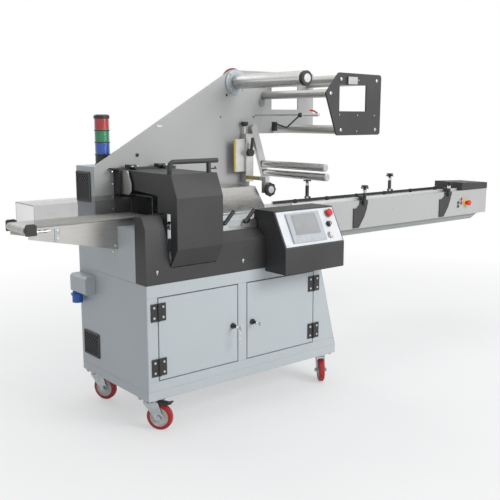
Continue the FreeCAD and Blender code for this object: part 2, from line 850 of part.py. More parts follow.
def build_outfeed():
    outer = belt_roller + belt_thickness
    centre_z = belt_top - outer
    nose = -outfeed_reach + outer
    tail = belt_end - outer
    inner_y = conveyor_front + conveyor_plate
    inner_width = conveyor_width - 2 * conveyor_plate
    belt_y = inner_y + 3
    belt_width = inner_width - 6
    node("outfeed_belt", cut(
        stadium(belt_y, belt_width, nose, tail, centre_z, outer),
        stadium(belt_y - 1, belt_width + 2, nose, tail, centre_z, belt_roller),
    ))
    plate_top = belt_top - 9
    side = [
        (-plate_nose, plate_top - plate_drop), (-plate_nose, plate_top), (belt_end, plate_top),
        (belt_end, bed_top), (0, bed_top), (0, plate_heel),
    ]
    pieces = []
    for y in (conveyor_front, conveyor_front + conveyor_width - conveyor_plate):
        pieces.append(plate("y", y, conveyor_plate, side))
    for x in (nose, tail):
        pieces.append(rod("y", x, inner_y - 1, centre_z, 6, inner_width + 2))
        pieces.append(rod("y", x, belt_y, centre_z, belt_roller - 0.2, belt_width))
    pieces.append(span(nose + 30, tail - 30, inner_y - 1, inner_y + inner_width + 1,
                       centre_z - 4, centre_z + 6))
    pieces.append(span(nose + 30, tail - 30, belt_y, belt_y + belt_width,
                       centre_z + 5, centre_z + belt_roller - 0.2))
    node("outfeed_frame", fuse(*pieces))
    for y in (conveyor_front - 14, conveyor_front + conveyor_width):
        brackets.append(plate("y", y, 14, [
            (-plate_nose - 14, 938), (-plate_nose - 14, 982), (-plate_nose - 8, 988),
            (-plate_nose + 26, 988), (-plate_nose + 34, 980), (-plate_nose + 34, 938),
        ]))
    guard_start = belt_end - guard_length
    outside = span(guard_start, belt_end, conveyor_front, conveyor_front + conveyor_width,
                   plate_top, guard_height)
    inside = span(guard_start - 1, belt_end + 1, conveyor_front + guard_wall,
                  conveyor_front + conveyor_width - guard_wall, plate_top - 1, guard_height - guard_wall)
    node("outfeed_guard", cut(outside, inside))


# ---------------------------------------------------------------- film stand

TUBES = ((1136, 1630), (1062, 1558), (1404, 1628), (1138, 1374), (1400, 1374))


def build_stand():
    node("film_stand_plate", plate("y", stand_front, stand_thickness, [
        (0, bed_top), (0, box_top), (stand_slope_start, stand_top), (stand_right, stand_top),
        (stand_right, stand_under), (stand_neck, stand_under), (stand_foot, bed_top),
    ], [
        [(1121, 1482), (1324, 1482), (1324, 1612), (1121, 1612)],
        ("circle", reel_x, reel_z, reel_journal + 6),
    ], 14, (2, 3, 4)))
    thickness = 10
    node("front_frame_plate", plate("y", front_plate_y, thickness, [
        (1030, 1559), (1112, stand_under - 4), (1442, stand_under - 4), (1444, 1659), (1122, 1663),
    ], [
        [(1128, 1469), (1330, 1469), (1330, 1602), (1128, 1602)],
    ], 16, (0, 1, 2, 3, 4)))
    tubes = []
    for x, z in TUBES:
        start = front_plate_y + thickness
        tubes.append(rod("y", x, start, z, tube_radius, stand_front - start))
    node("tie_tubes", group(*tubes))


def build_reel():
    """The reel shaft on its bearing flange: a slotted tube with an end knob and a brake drum behind."""
    flange_front = stand_front - flange_thick
    node("reel_bearing", cut(
        turned("y", reel_x, flange_front, reel_z, [
            (0, 0), (0, flange_radius - 16), (4, flange_radius - 12), (6, flange_radius),
            (flange_thick, flange_radius), (flange_thick, 0),
        ]),
        rod("y", reel_x, flange_front - 1, reel_z, reel_journal + running_gap, flange_thick + 2),
    ))
    journal_end = stand_front + stand_thickness + 5 + brake_thick
    tube_end = flange_front - 5
    body = doc.addObject("PartDesign::Body", "ReelShaft")
    sketch = drawn(body, "XZ_Plane", ("circle", 0, 0, reel_radius))
    pad = body.newObject("PartDesign::Pad", "Tube")
    pad.Profile = sketch
    bind(pad, "Length", tube_end - reel_end)
    pad.Reversed = True
    slot = drawn(body, "XZ_Plane", [
        (-reel_slot / 2, reel_radius - 4), (reel_slot / 2, reel_radius - 4),
        (reel_slot / 2, reel_radius + 2), (-reel_slot / 2, reel_radius + 2),
    ])
    doc.recompute()
    pocket = body.newObject("PartDesign::Pocket", "Slot")
    pocket.Profile = slot
    pocket.Type = 1
    pocket.Midplane = True
    doc.recompute()
    around = body.newObject("PartDesign::PolarPattern", "Slots")
    around.Originals = [pocket]
    around.Axis = (slot, ["N_Axis"])
    around.Angle = 360
    around.Occurrences = 4
    body.Tip = around
    sketch.Visibility = False
    slot.Visibility = False
    placed(body, reel_x, reel_end, reel_z)
    journal = rod("y", reel_x, tube_end - 1, reel_z, reel_journal, journal_end - tube_end + 1)
    knob = turned("y", reel_x, reel_end - knob_length, reel_z, [
        (0, 0), (0, reel_radius - 4), (3, reel_radius - 1), (knob_length, reel_radius - 1),
        (knob_length, 0),
    ])
    node("reel_shaft", fuse(body, journal, knob))
    drum = turned("y", reel_x, stand_front + stand_thickness + 5, reel_z, [
        (0, reel_journal), (0, brake_radius - 3), (3, brake_radius), (brake_thick - 3, brake_radius),
        (brake_thick, brake_radius - 3), (brake_thick, reel_journal),
    ])
    node("brake_drum", drum)


IDLERS = {"upper": (1036, 1183), "lower": (1048, 1134)}


def build_idlers():
    """A slanted arm that carries two rollers; each turns on its journal in the arm."""
    top = (972, 1377)
    bottom = (1060, 1110)
    arm_front = stand_front - arm_gap - arm_thickness
    half = arm_width / 2
    run = (bottom[0] - top[0], bottom[1] - top[1])
    length = math.hypot(*run)
    across = (-run[1] / length, run[0] / length)
    corners = []
    for spot, sign in ((top, 1), (bottom, 1), (bottom, -1), (top, -1)):
        corners.append((spot[0] + sign * half * across[0], spot[1] + sign * half * across[1]))
    bar = fuse(
        plate("y", arm_front, arm_thickness, corners),
        rod("y", top[0], arm_front, top[1], half, arm_thickness),
        rod("y", bottom[0], arm_front, bottom[1], half, arm_thickness),
        rod("y", top[0], stand_front - arm_gap - 1, top[1], 16, arm_gap + 1),
    )
    journal = 8
    bores = [rod("y", x, arm_front - 1, z, journal + running_gap, arm_thickness + 2)
             for x, z in IDLERS.values()]
    node("idler_arm", cut(bar, *bores))
    for name, (x, z) in IDLERS.items():
        node(f"{name}_idler", turned("y", x, idler_end, z, [
            (0, 0), (0, idler_radius - 6), (2, idler_radius - 4), (6, idler_radius - 4),
            (6, idler_radius), (arm_front - idler_end - 8, idler_radius),
            (arm_front - idler_end - 8, journal + 3), (arm_front - idler_end - 5, journal + 3),
            (arm_front - idler_end - 5, journal), (arm_front - idler_end + 16, journal),
            (arm_front - idler_end + 16, 0),
        ]))


def build_sensor():
    ball_y = 86
    node("film_sensor", fuse(
        rod("y", sensor_x, -40, sensor_z, sensor_rod, stand_front + 40),
        rod("y", sensor_x, -52, sensor_z, 8, 100),
        placed_sphere(sensor_x, ball_y, sensor_z, 13),
        strut((sensor_x, ball_y, sensor_z), (sensor_x, 190, sensor_z - 66), 4),
        strut((sensor_x, 190, sensor_z - 66), (sensor_x, 282, sensor_z - 44), 4),
        span(sensor_x - 9, sensor_x + 9, 274, 300, sensor_z - 84, sensor_z - 36),
    ))


def placed_sphere(x, y, z, radius):
    ball = doc.addObject("Part::Sphere", "Ball")
    bind(ball, "Radius", radius)
    return placed(ball, x, y, z)


def build_forming():
    """The slide that sets the film height, the forming box and the sealing levers."""
    column_left = 895
    column_right = 948
    column_top = 1350
    bar_z = 1105
    node("forming_slide", fuse(
        span(column_left, column_right, 402, stand_front, 1090, column_top),
        span(column_left - 8, column_right - 14, 388, 403, 1140, 1300),
        rod("z", column_left + 12, 428, column_top - 1, 6, 42),
        span(column_left, column_left + 20, 240, 403, bar_z, bar_z + 20),
        span(column_left - 4, column_left + 24, 232, 264, 1040, bar_z + 20),
    ))
    wheel_y = 206
    node("knobs_and_grips", group(
        turned("y", 909, wheel_y, 1060, [
            (0, 0), (0, 30), (4, 34), (18, 34), (20, 20), (26, 14), (26, 0),
        ]),
        turned("z", column_left + 12, 428, column_top + 41, [
            (0, 0), (0, 10), (8, 20), (20, 20), (24, 16), (24, 0),
        ]),
        fuse(
            rod("y", column_left + 10, 364, 1250, 20, 24),
            strut((column_left + 10, 370, 1250), (column_left + 18, 366, 1330), 8),
        ),
        strut((496, 74, fascia_low + 32.6), (552, 74, fascia_low + 90.6), 9),
        strut((626, 74, fascia_low + 32.6), (682, 74, fascia_low + 90.6), 9),
    ))
    node("forming_box", forming_box())
    seat = fascia_low
    node("fin_seal_unit", fuse(
        span(470, 688, 62, fascia_depth, seat, seat + 14),
        span(480, 512, 64, 84, seat, seat + 26),
        span(612, 644, 64, 84, seat, seat + 26),
        rod("y", 664, 62, seat + 24, 24, 12),
    ))


def forming_box():
    """A bent sheet that folds the film into a tube: two walls and a roof, open below and at both ends."""
    front = 256
    rear = 430
    wall = 2
    high = 1080
    outer = plate("y", front, rear - front, [
        (600, table_top), (600, high), (840, high), (905, table_top + 22), (905, table_top),
    ])
    inner = span(598, 910, front + wall, rear - wall, table_top - 1, high - wall)
    return cut(outer, inner)


# ---------------------------------------------------------------- operator panel

def build_panel():
    sill_y = -panel_reach
    node("control_box", plate("x", panel_left, panel_right - panel_left, [
        (sill_y, panel_bottom), (sill_y, panel_sill), (-panel_brow, panel_top), (fascia_depth, panel_top),
        (fascia_depth, cabinet_top), (0, cabinet_top), (0, panel_bottom),
    ]))
    face = SlopedFace()
    width = panel_right - panel_left
    node("control_panel", face.slab(panel_margin, width - 2 * panel_margin, panel_margin,
                                    face.length - 2 * panel_margin, 0, panel_sheet))
    node("touch_screen", face.slab(screen_start, screen_width, 22, 156, panel_sheet, 9))
    heads = [face.button(352, 160, panel_sheet, [(0, 14), (12, 14), (12, 19), (20, 19), (24, 15)])]
    table_red = turned("y", 2703, table_front - 36, 864, [
        (0, 0), (0, 15), (4, 19), (12, 19), (12, 13), (36, 13), (36, 0),
    ])
    node("stop_buttons", group(*heads, table_red))
    node("panel_buttons", group(
        face.button(330, 103, panel_sheet, [(0, 15), (5, 15), (5, 11), (18, 11)]),
        face.button(322, 46, panel_sheet, [(0, 15), (5, 15), (5, 12), (11, 12)]),
        rod("y", 2650, table_front - 5, 892, 11, 5),
        rod("y", 2650, table_front - 5, 864, 11, 5),
        rod("y", 2615, table_front - 5, 870, 11, 5),
        rod("y", 2615, table_front - 5, 844, 11, 5),
    ))


class SlopedFace:
    """The operator panel's sloping face: places along the slope and out of it."""

    def __init__(self):
        self.run = panel_reach - panel_brow
        self.rise = panel_top - panel_sill
        self.length = root(self.run * self.run + self.rise * self.rise)

    def point(self, along, out):
        y = -panel_reach + (along * self.run - out * self.rise) / self.length
        z = panel_sill + (along * self.rise + out * self.run) / self.length
        return y, z

    def slab(self, across, width, along, height, out, thickness):
        return plate("x", panel_left + across, width, [
            self.point(term(along), term(out)),
            self.point(term(along) + height, term(out)),
            self.point(term(along) + height, term(out) + thickness),
            self.point(term(along), term(out) + thickness),
        ])

    def button(self, across, along, out, profile):
        y, z = self.point(term(along), term(out))
        lean = math.degrees(math.atan2(self.run.value, self.rise.value))
        outline = [(0, 0)] + profile + [(profile[-1][0], 0)]
        return turned("z", panel_left + across, y, z, outline, Rotation(Vector(1, 0, 0), 90 - lean))


# ---------------------------------------------------------------- infeed table

def build_table():
    start = bed_length
    front_panel = span(start, infeed_reach, table_front, table_front + sheet_wall, table_bottom, table_top)
    rear_panel = span(start, infeed_reach, table_rear - sheet_wall, table_rear, table_bottom, table_top)
    node("table_panels", group(front_panel, rear_panel))
    inner_front = table_front + sheet_wall
    inner_rear = table_rear - sheet_wall
    middle = (table_front + table_rear) / 2
    wall = sheet_wall
    half = chain_slot / 2
    trough = plate("x", start, end_cover_start - start, [
        (inner_front, table_top - wall - 20), (inner_front, table_top), (middle - half, table_top),
        (middle - half, table_top - slot_depth), (middle + half, table_top - slot_depth),
        (middle + half, table_top), (inner_rear, table_top), (inner_rear, table_top - wall - 20),
        (inner_rear - wall, table_top - wall - 20), (inner_rear - wall, table_top - wall),
        (middle + half + wall, table_top - wall), (middle + half + wall, table_top - slot_depth - wall),
        (middle - half - wall, table_top - slot_depth - wall), (middle - half - wall, table_top - wall),
        (inner_front + wall, table_top - wall), (inner_front + wall, table_top - wall - 20),
    ])
    sill = span(590, start, inner_front, stand_front, bed_top, table_top)
    node("table_deck", fuse(trough, sill))
    outer = table_bottom - channel_depth
    front = table_front + channel_inset
    rear = table_rear - channel_inset
    shell = plate("y", front, rear - front, [
        (start, outer), (infeed_reach - 142, outer), (infeed_reach - 66, table_bottom),
        (start, table_bottom),
    ])
    hollow = plate("y", front + wall, rear - front - 2 * wall, [
        (start + wall, outer + wall), (infeed_reach - 142 - wall, outer + wall),
        (infeed_reach - 66 - 3 * wall, table_bottom - wall), (start + wall, table_bottom - wall),
    ])
    tray = span(start, infeed_reach - 66, inner_front, inner_rear, table_bottom, table_bottom + wall)
    node("table_channel", fuse(cut(shell, hollow), tray))
    node("table_end_cover", plate("y", table_front - 3, table_rear - table_front + 6, [
        (end_cover_start, table_top), (end_cover_start, end_cover_top), (infeed_reach, end_cover_top - 12),
        (infeed_reach, table_top),
    ]))
    build_lugs(middle)
    build_guides()


def build_lugs(middle):
    """The lug chain in its slot, with a pusher at each pitch."""
    chain_z = table_top - slot_depth
    chain = [span(lug_start - 60, end_cover_start, middle - 5, middle + 5, chain_z, table_top - 3)]
    count = 6
    for number in range(count):
        x = lug_start + number * lug_pitch
        chain.append(plate("y", middle - 6, 12, [
            (x - 10, table_top - 4), (x - 7, table_top + lug_height), (x + 5, table_top + lug_height),
            (x + 10, table_top - 4),
        ]))
    node("product_lugs", fuse(*chain))


GUIDE_POSTS = (
    (1667, -1, 91),
    (2494, -1, 70),
    (1401, 1, 135),
    (2148, 1, 128),
)


def build_guides():
    """Four clamp posts with hand knobs that carry the side rails, and the gussets of the front two."""
    rail_z = table_top + 16
    posts = []
    for side in (-1, 1):
        rail_y = table_front + 24 if side < 0 else table_rear - 36
        pieces = [span(bed_length + 40, end_cover_start - 20, rail_y, rail_y + 12, table_top, rail_z)]
        for x, post_side, height in GUIDE_POSTS:
            if post_side != side:
                continue
            post_y = table_front - 10 if side < 0 else table_rear - 14
            pieces.append(span(x - 10, x + 10, min_term(post_y, rail_y), max_term(post_y, rail_y) + 12,
                               table_top + 2, table_top + 26))
            pieces.append(rod("z", x, post_y, table_top + 2, 11, height - 26))
            pieces.append(turned("z", x, post_y, table_top + height - 25, [
                (0, 0), (0, 7), (14, 7), (16, 21), (24, 21), (25, 18), (25, 0),
            ]))
        posts.append(fuse(*pieces))
    node("side_guides", group(*posts))
    gussets = []
    for x in (1667, 2494):
        gussets.append(plate("y", table_front - 6, 6, [
            (x - 88, 787), (x - 88, 905), (x - 60, 905), (x - 34, 925), (x - 34, table_top + 2),
            (x + 34, table_top + 2), (x + 30, 900), (x + 8, 850), (x - 38, 787),
        ]))
        gussets.append(span(x - 16, x + 16, table_front - 24, table_front - 6, 925, table_top + 2))
    brackets.extend([fuse(*gussets[:2]), fuse(*gussets[2:])])


def min_term(one, other):
    one, other = term(one), term(other)
    return one if one.value < other.value else other


def max_term(one, other):
    one, other = term(one), term(other)
    return one if one.value > other.value else other


# ---------------------------------------------------------------- all pieces

build_cabinet()
build_doors()
build_grilles()
build_power_inlet()
build_castors()
build_bed()
build_fascia()
build_electrical_box()
build_signal_tower()
build_jaw_cover()
build_jaw_housing()
build_jaws()
build_outfeed()
build_stand()
build_reel()
build_idlers()
build_sensor()
build_forming()
build_panel()
build_table()
node("support_brackets", group(*brackets))
doc.recompute()

for obj in doc.Objects:
    if "Invalid" in obj.State or "Error" in obj.State:
        raise RuntimeError(f"{obj.Label} ({obj.TypeId}) failed: {obj.State}")
for name, obj in nodes.items():
    if obj.Shape.isNull() or not obj.Shape.isValid() or not obj.Shape.Solids:
        raise RuntimeError(f"{name} has no valid shape")

os.makedirs("parts", exist_ok=True)
for name, obj in nodes.items():
    obj.Shape.exportStep(f"parts/{name}.step")
    box_of = obj.Shape.BoundBox
    print(f"{name}: {len(obj.Shape.Solids)} solids, x {box_of.XMin:.1f} {box_of.XMax:.1f}, "
          f"y {box_of.YMin:.1f} {box_of.YMax:.1f}, z {box_of.ZMin:.1f} {box_of.ZMax:.1f}")
print(len(nodes), "nodes")
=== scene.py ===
"""Looks of the horizontal flow wrapper: finishes for every piece of the machine, with the small hardware.

Lengths are in metres, in the machine's own frame: X towards the infeed, Y towards the rear, Z up.
"""

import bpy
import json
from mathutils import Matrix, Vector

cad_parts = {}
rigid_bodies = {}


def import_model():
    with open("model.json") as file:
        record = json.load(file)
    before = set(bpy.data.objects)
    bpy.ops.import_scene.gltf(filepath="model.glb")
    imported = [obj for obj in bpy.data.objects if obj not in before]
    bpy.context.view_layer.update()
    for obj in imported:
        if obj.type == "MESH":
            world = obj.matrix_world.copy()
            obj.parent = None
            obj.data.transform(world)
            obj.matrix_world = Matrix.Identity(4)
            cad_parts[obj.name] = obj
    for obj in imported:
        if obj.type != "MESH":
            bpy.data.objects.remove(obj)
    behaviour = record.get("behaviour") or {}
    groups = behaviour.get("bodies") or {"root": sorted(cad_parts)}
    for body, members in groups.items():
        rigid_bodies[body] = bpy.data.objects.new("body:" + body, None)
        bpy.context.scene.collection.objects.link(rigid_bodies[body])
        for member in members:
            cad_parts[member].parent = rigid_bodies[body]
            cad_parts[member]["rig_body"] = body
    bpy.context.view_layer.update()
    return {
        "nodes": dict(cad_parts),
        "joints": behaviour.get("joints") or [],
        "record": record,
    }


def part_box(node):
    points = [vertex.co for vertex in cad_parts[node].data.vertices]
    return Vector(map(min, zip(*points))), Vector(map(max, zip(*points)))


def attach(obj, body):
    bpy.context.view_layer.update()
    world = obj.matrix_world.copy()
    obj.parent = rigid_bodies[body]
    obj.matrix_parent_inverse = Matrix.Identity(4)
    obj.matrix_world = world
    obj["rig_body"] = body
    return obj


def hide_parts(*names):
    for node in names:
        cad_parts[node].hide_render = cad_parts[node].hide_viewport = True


bl_info = {
    "name": "Flow Wrapper Looks",
    "version": (1, 0, 0),
    "blender": (4, 5, 0),
    "location": "View3D > Sidebar > Flow Wrapper",
    "description": "Builds the finishes and small hardware of a horizontal flow wrapper",
    "category": "Object",
}

import bmesh
import bpy
import json
import math
import numpy as np
from bpy.props import FloatProperty, FloatVectorProperty, PointerProperty
from mathutils import Vector

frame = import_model()
SLOTS = {row["node"]: row["material_slot"] for row in frame["record"]["subparts"]}
JOINTS = {joint["name"]: joint for joint in frame["joints"]}
MM = 0.001


# ---------------------------------------------------------------- frame lookups

def corners(node):
    """Lowest and highest corner of a node, as arrays."""
    low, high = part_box(node)
    return np.array(low), np.array(high)


def body_name(node):
    """The body that a node rides on."""
    return frame["nodes"][node]["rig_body"]


def at(node, share, offset=(0, 0, 0)):
    """A place in a node's box, given as shares of its sides, and an offset in millimetres."""
    low, high = corners(node)
    return low + (high - low) * np.asarray(share, float) + np.asarray(offset, float) * MM


# ---------------------------------------------------------------- meshes from arrays

def unit(vector):
    vector = np.asarray(vector, float)
    return vector / np.linalg.norm(vector)


def axes_of(direction):
    """Two directions square to the given one and to each other."""
    along = unit(direction)
    other = np.array([0.0, 0.0, 1.0]) if abs(along[2]) < 0.9 else np.array([1.0, 0.0, 0.0])
    first = unit(np.cross(other, along))
    return first, np.cross(along, first), along


def mesh_object(name, points, faces, body, smooth=35.0):
    """Puts arrays of points and faces into a closed mesh whose faces point outwards."""
    mesh = bpy.data.meshes.new(name)
    mesh.from_pydata(np.asarray(points, float).reshape(-1, 3).tolist(), [], [list(face) for face in faces])
    work = bmesh.new()
    work.from_mesh(mesh)
    bmesh.ops.remove_doubles(work, verts=work.verts, dist=1e-6)
    bmesh.ops.dissolve_degenerate(work, dist=1e-7, edges=work.edges)
    bmesh.ops.recalc_face_normals(work, faces=work.faces)
    work.to_mesh(mesh)
    work.free()
    mesh.shade_smooth()
    mesh.set_sharp_from_angle(angle=math.radians(smooth))
    obj = bpy.data.objects.new(name, mesh)
    bpy.context.scene.collection.objects.link(obj)
    if body:
        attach(obj, body)
    return obj


def grid_faces(rows, columns, wrap_rows=False, wrap_columns=False):
    """Quads of a grid of points, row by row; a wrapped direction joins its last line to its first."""
    i = np.arange(rows if wrap_rows else rows - 1)[:, None]
    j = np.arange(columns if wrap_columns else columns - 1)[None, :]
    i2 = (i + 1) % rows
    j2 = (j + 1) % columns
    quads = np.stack([i * columns + j, i2 * columns + j, i2 * columns + j2, i * columns + j2], -1)
    return quads.reshape(-1, 4)


def lathe_arrays(profile, origin, direction, segments):
    """A profile turned about an axis: origin + along*axis + radius*(cos t * first + sin t * second)."""
    profile = np.asarray(profile, float)
    first, second, along = axes_of(direction)
    turn = np.linspace(0, 2 * np.pi, segments, endpoint=False)
    ring = np.cos(turn)[:, None] * first + np.sin(turn)[:, None] * second
    points = (np.asarray(origin) + profile[:, 0, None, None] * along
              + profile[:, 1, None, None] * ring[None])
    return points.reshape(-1, 3), grid_faces(len(profile), segments, wrap_columns=True)


def stack_copies(points, faces, count):
    """The faces of several copies of one mesh whose points are stacked one after another."""
    return (faces[None] + (np.arange(count) * len(points))[:, None, None]).reshape(-1, faces.shape[1])


def lathes(name, profile, places, direction, body, segments=24, smooth=35.0):
    """Like turned pieces at several places, as one mesh."""
    points, faces = lathe_arrays(profile, (0, 0, 0), direction, segments)
    places = np.asarray(places, float).reshape(-1, 1, 3)
    every = (points[None] + places).reshape(-1, 3)
    return mesh_object(name, every, stack_copies(points, faces, len(places)), body, smooth)


def prism_arrays(outline, origin, across, up, depth):
    """A flat outline carried along the normal of its two directions: origin + u*across + v*up + w*out."""
    outline = np.asarray(outline, float)
    across, up = np.asarray(across, float), np.asarray(up, float)
    out = np.cross(across, up)
    flat = np.asarray(origin) + outline[:, :1] * across + outline[:, 1:] * up
    points = np.concatenate([flat, flat + depth * out])
    count = len(outline)
    here = np.arange(count)
    there = (here + 1) % count
    sides = np.stack([here, there, there + count, here + count], 1).tolist()
    return points, [list(here[::-1]), list(here + count)] + sides


def prism(name, outline, origin, across, up, depth, body, bevel=0.0):
    """A flat outline with a thickness, as one piece, with its edges rounded where asked."""
    points, faces = prism_arrays(outline, origin, across, up, depth)
    obj = mesh_object(name, points, faces, body)
    if bevel:
        round_edges(obj, bevel)
    return obj


def rounded(width, height, radius, steps=6):
    """A rectangle about its centre whose corners are quarter circles."""
    turn = np.linspace(0, np.pi / 2, steps)
    arc = np.stack([np.cos(turn), np.sin(turn)], 1) * radius
    spots = []
    for quarter, (sx, sy) in enumerate(((1, 1), (-1, 1), (-1, -1), (1, -1))):
        spin = quarter * np.pi / 2
        matrix = np.array([[np.cos(spin), np.sin(spin)], [-np.sin(spin), np.cos(spin)]])
        centre = np.array([sx * (width / 2 - radius), sy * (height / 2 - radius)])
        spots.append(arc @ matrix + centre)
    return np.concatenate(spots)


def blocks(name, centres, sizes, body, bevel=0.0):
    """Square bars at several places, as one mesh."""
    unit_box = np.array([[x, y, z] for x in (-0.5, 0.5) for y in (-0.5, 0.5) for z in (-0.5, 0.5)])
    quads = np.array([[0, 1, 3, 2], [4, 6, 7, 5], [0, 4, 5, 1], [2, 3, 7, 6], [0, 2, 6, 4], [1, 5, 7, 3]])
    centres = np.asarray(centres, float).reshape(-1, 1, 3)
    sizes = np.broadcast_to(np.asarray(sizes, float), (len(centres), 3))[:, None, :]
    points = unit_box[None] * sizes + centres
    obj = mesh_object(name, points, stack_copies(unit_box, quads, len(centres)), body)
    if bevel:
        round_edges(obj, bevel)
    return obj


def round_edges(obj, width, segments=2):
    """Rounds the sharp edges a little."""
    bevel = obj.modifiers.new("Edges", "BEVEL")
    bevel.width = width
    bevel.segments = segments
    bevel.limit_method = "ANGLE"
    bevel.angle_limit = math.radians(32)
    bevel.harden_normals = True
    return obj


def tube(name, path, radius, body, sides=12):
    """A round bar along a path: each ring lies square to the path's direction at its point."""
    path = np.asarray(path, float)
    along = np.gradient(path, axis=0)
    along /= np.linalg.norm(along, axis=1)[:, None]
    first = np.cross(along, axes_of(along[0])[1])
    first /= np.linalg.norm(first, axis=1)[:, None]
    second = np.cross(along, first)
    turn = np.linspace(0, 2 * np.pi, sides, endpoint=False)
    ring = (np.cos(turn)[None, :, None] * first[:, None] + np.sin(turn)[None, :, None] * second[:, None])
    points = path[:, None] + radius * ring
    points = np.concatenate([path[:1][:, None].repeat(sides, 1), points, path[-1:][:, None].repeat(sides, 1)])
    return mesh_object(name, points, grid_faces(len(points), sides, wrap_columns=True), body)


def finished(node, bevel=1.2 * MM, segments=2, smooth=35.0):
    """A welded copy of a node with its edges rounded a little, which stands for the node."""
    mesh = frame["nodes"][node].data.copy()
    work = bmesh.new()
    work.from_mesh(mesh)
    bmesh.ops.remove_doubles(work, verts=work.verts, dist=2e-6)
    bmesh.ops.dissolve_limit(work, angle_limit=math.radians(0.6), verts=work.verts, edges=work.edges)
    work.to_mesh(mesh)
    work.free()
    mesh.shade_smooth()
    mesh.set_sharp_from_angle(angle=math.radians(smooth))
    obj = bpy.data.objects.new(f"{node}_skin", mesh)
    bpy.context.scene.collection.objects.link(obj)
    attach(obj, body_name(node))
    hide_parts(node)
    if bevel:
        round_edges(obj, bevel, segments)
    return obj


def paint(obj, finish):
    """Gives the whole piece one finish."""
    obj.data.materials.clear()
    obj.data.materials.append(finish)
    return obj


def paint_faces(obj, finish, chosen):
    """Gives another finish to the faces whose centres the test picks."""
    mesh = obj.data
    centres = np.empty(len(mesh.polygons) * 3)
    mesh.polygons.foreach_get("center", centres)
    slots = np.empty(len(mesh.polygons), int)
    mesh.polygons.foreach_get("material_index", slots)
    slots[chosen(*centres.reshape(-1, 3).T)] = len(mesh.materials)
    mesh.materials.append(finish)
    mesh.polygons.foreach_set("material_index", slots)
    return obj


# ---------------------------------------------------------------- shader expressions

class Value:
    """A socket in a material; its operators add Math nodes."""

    def __init__(self, shader, socket):
        self.shader = shader
        self.socket = socket

    def calc(self, operation, *others, clamp=False):
        return self.shader.node("ShaderNodeMath", {"operation": operation, "use_clamp": clamp},
                                self, *others)[0]

    def __add__(self, other):
        return self.calc("ADD", other)

    def __radd__(self, other):
        return self.calc("ADD", other)

    def __sub__(self, other):
        return self.calc("SUBTRACT", other)

    def __rsub__(self, other):
        return self.shader.node("ShaderNodeMath", {"operation": "SUBTRACT"}, other, self)[0]

    def __mul__(self, other):
        return self.calc("MULTIPLY", other)

    def __rmul__(self, other):
        return self.calc("MULTIPLY", other)

    def __truediv__(self, other):
        return self.calc("DIVIDE", other)

    def __pow__(self, other):
        return self.calc("POWER", other)

    def __gt__(self, other):
        return self.calc("GREATER_THAN", other)

    def __lt__(self, other):
        return self.calc("LESS_THAN", other)

    def wave(self):
        return self.calc("SINE")

    def size(self):
        return self.calc("ABSOLUTE")


class Shader:
    """A material under construction round one Principled shader."""

    def __init__(self, name):
        self.material = bpy.data.materials.new(name)
        self.material.use_nodes = True
        self.tree = self.material.node_tree
        self.surface = next(n for n in self.tree.nodes if n.type == "BSDF_PRINCIPLED")
        self.place = self.node("ShaderNodeTexCoord", {})[3]

    def node(self, kind, settings, *inputs, **named):
        """Any node: its settings first, then the values or links of its sockets; returns its outputs."""
        made = self.tree.nodes.new(kind)
        for name, value in settings.items():
            if name == "stops":
                self.set_stops(made.color_ramp, value)
            else:
                setattr(made, name, value)
        for key, value in [*enumerate(inputs), *named.items()]:
            socket = made.inputs[key] if isinstance(key, int) else made.inputs[key.replace("_", " ")]
            self.feed(socket, value)
        return [Value(self, output) for output in made.outputs]

    def feed(self, socket, value):
        if isinstance(value, Value):
            self.tree.links.new(value.socket, socket)
        elif value is not None:
            socket.default_value = value

    @staticmethod
    def set_stops(ramp, stops):
        while len(ramp.elements) < len(stops):
            ramp.elements.new(0.5)
        for element, (position, shade) in zip(ramp.elements, stops):
            element.position = position
            element.color = (shade, shade, shade, 1)

    def noise(self, scale, detail=3.0, rough=0.5, place=None):
        return self.node("ShaderNodeTexNoise", {}, place or self.place, None, scale, detail, rough)[0]

    def stretched(self, sx, sy, sz):
        """The place on the piece, drawn out along one direction."""
        return self.node("ShaderNodeVectorMath", {"operation": "MULTIPLY"}, self.place, (sx, sy, sz))[0]

    def split(self):
        return self.node("ShaderNodeSeparateXYZ", {}, self.place)

    def range(self, value, low, high, new_low=0.0, new_high=1.0):
        return self.node("ShaderNodeMapRange", {"clamp": True}, value, low, high, new_low, new_high)[0]

    def mix(self, factor, first, second):
        mixed = self.tree.nodes.new("ShaderNodeMix")
        mixed.data_type = "RGBA"
        self.feed(mixed.inputs[0], factor)
        self.feed(mixed.inputs[6], colour(first))
        self.feed(mixed.inputs[7], colour(second))
        return Value(self, mixed.outputs[2])

    def distance(self, point, axis=None):
        """How far the surface is from a point, or from a line through it along an axis."""
        offset = self.node("ShaderNodeVectorMath", {"operation": "SUBTRACT"}, self.place, tuple(point))[0]
        if axis is not None:
            offset = self.node("ShaderNodeVectorMath", {"operation": "CROSS_PRODUCT"}, offset, tuple(axis))[0]
        return self.node("ShaderNodeVectorMath", {"operation": "LENGTH"}, offset)[1]

    def bump(self, height, strength, distance):
        self.set(Normal=self.node("ShaderNodeBump", {}, strength, distance, None, height)[0])

    def set(self, **sockets):
        for name, value in sockets.items():
            if name.endswith("Color") or name == "Base_Color":
                value = colour(value)
            self.feed(self.surface.inputs[name.replace("_", " ")], value)
        return self


def colour(value):
    """A plain colour as the four numbers that a socket takes; a link is left as it is."""
    if isinstance(value, Value) or len(value) == 4:
        return value
    return (*value, 1.0)


MATERIALS = {}


def material(builder, *details):
    """The one material that a builder makes, made once."""
    key = (builder.__name__, *details)
    if key not in MATERIALS:
        MATERIALS[key] = builder(*details).material
    return MATERIALS[key]


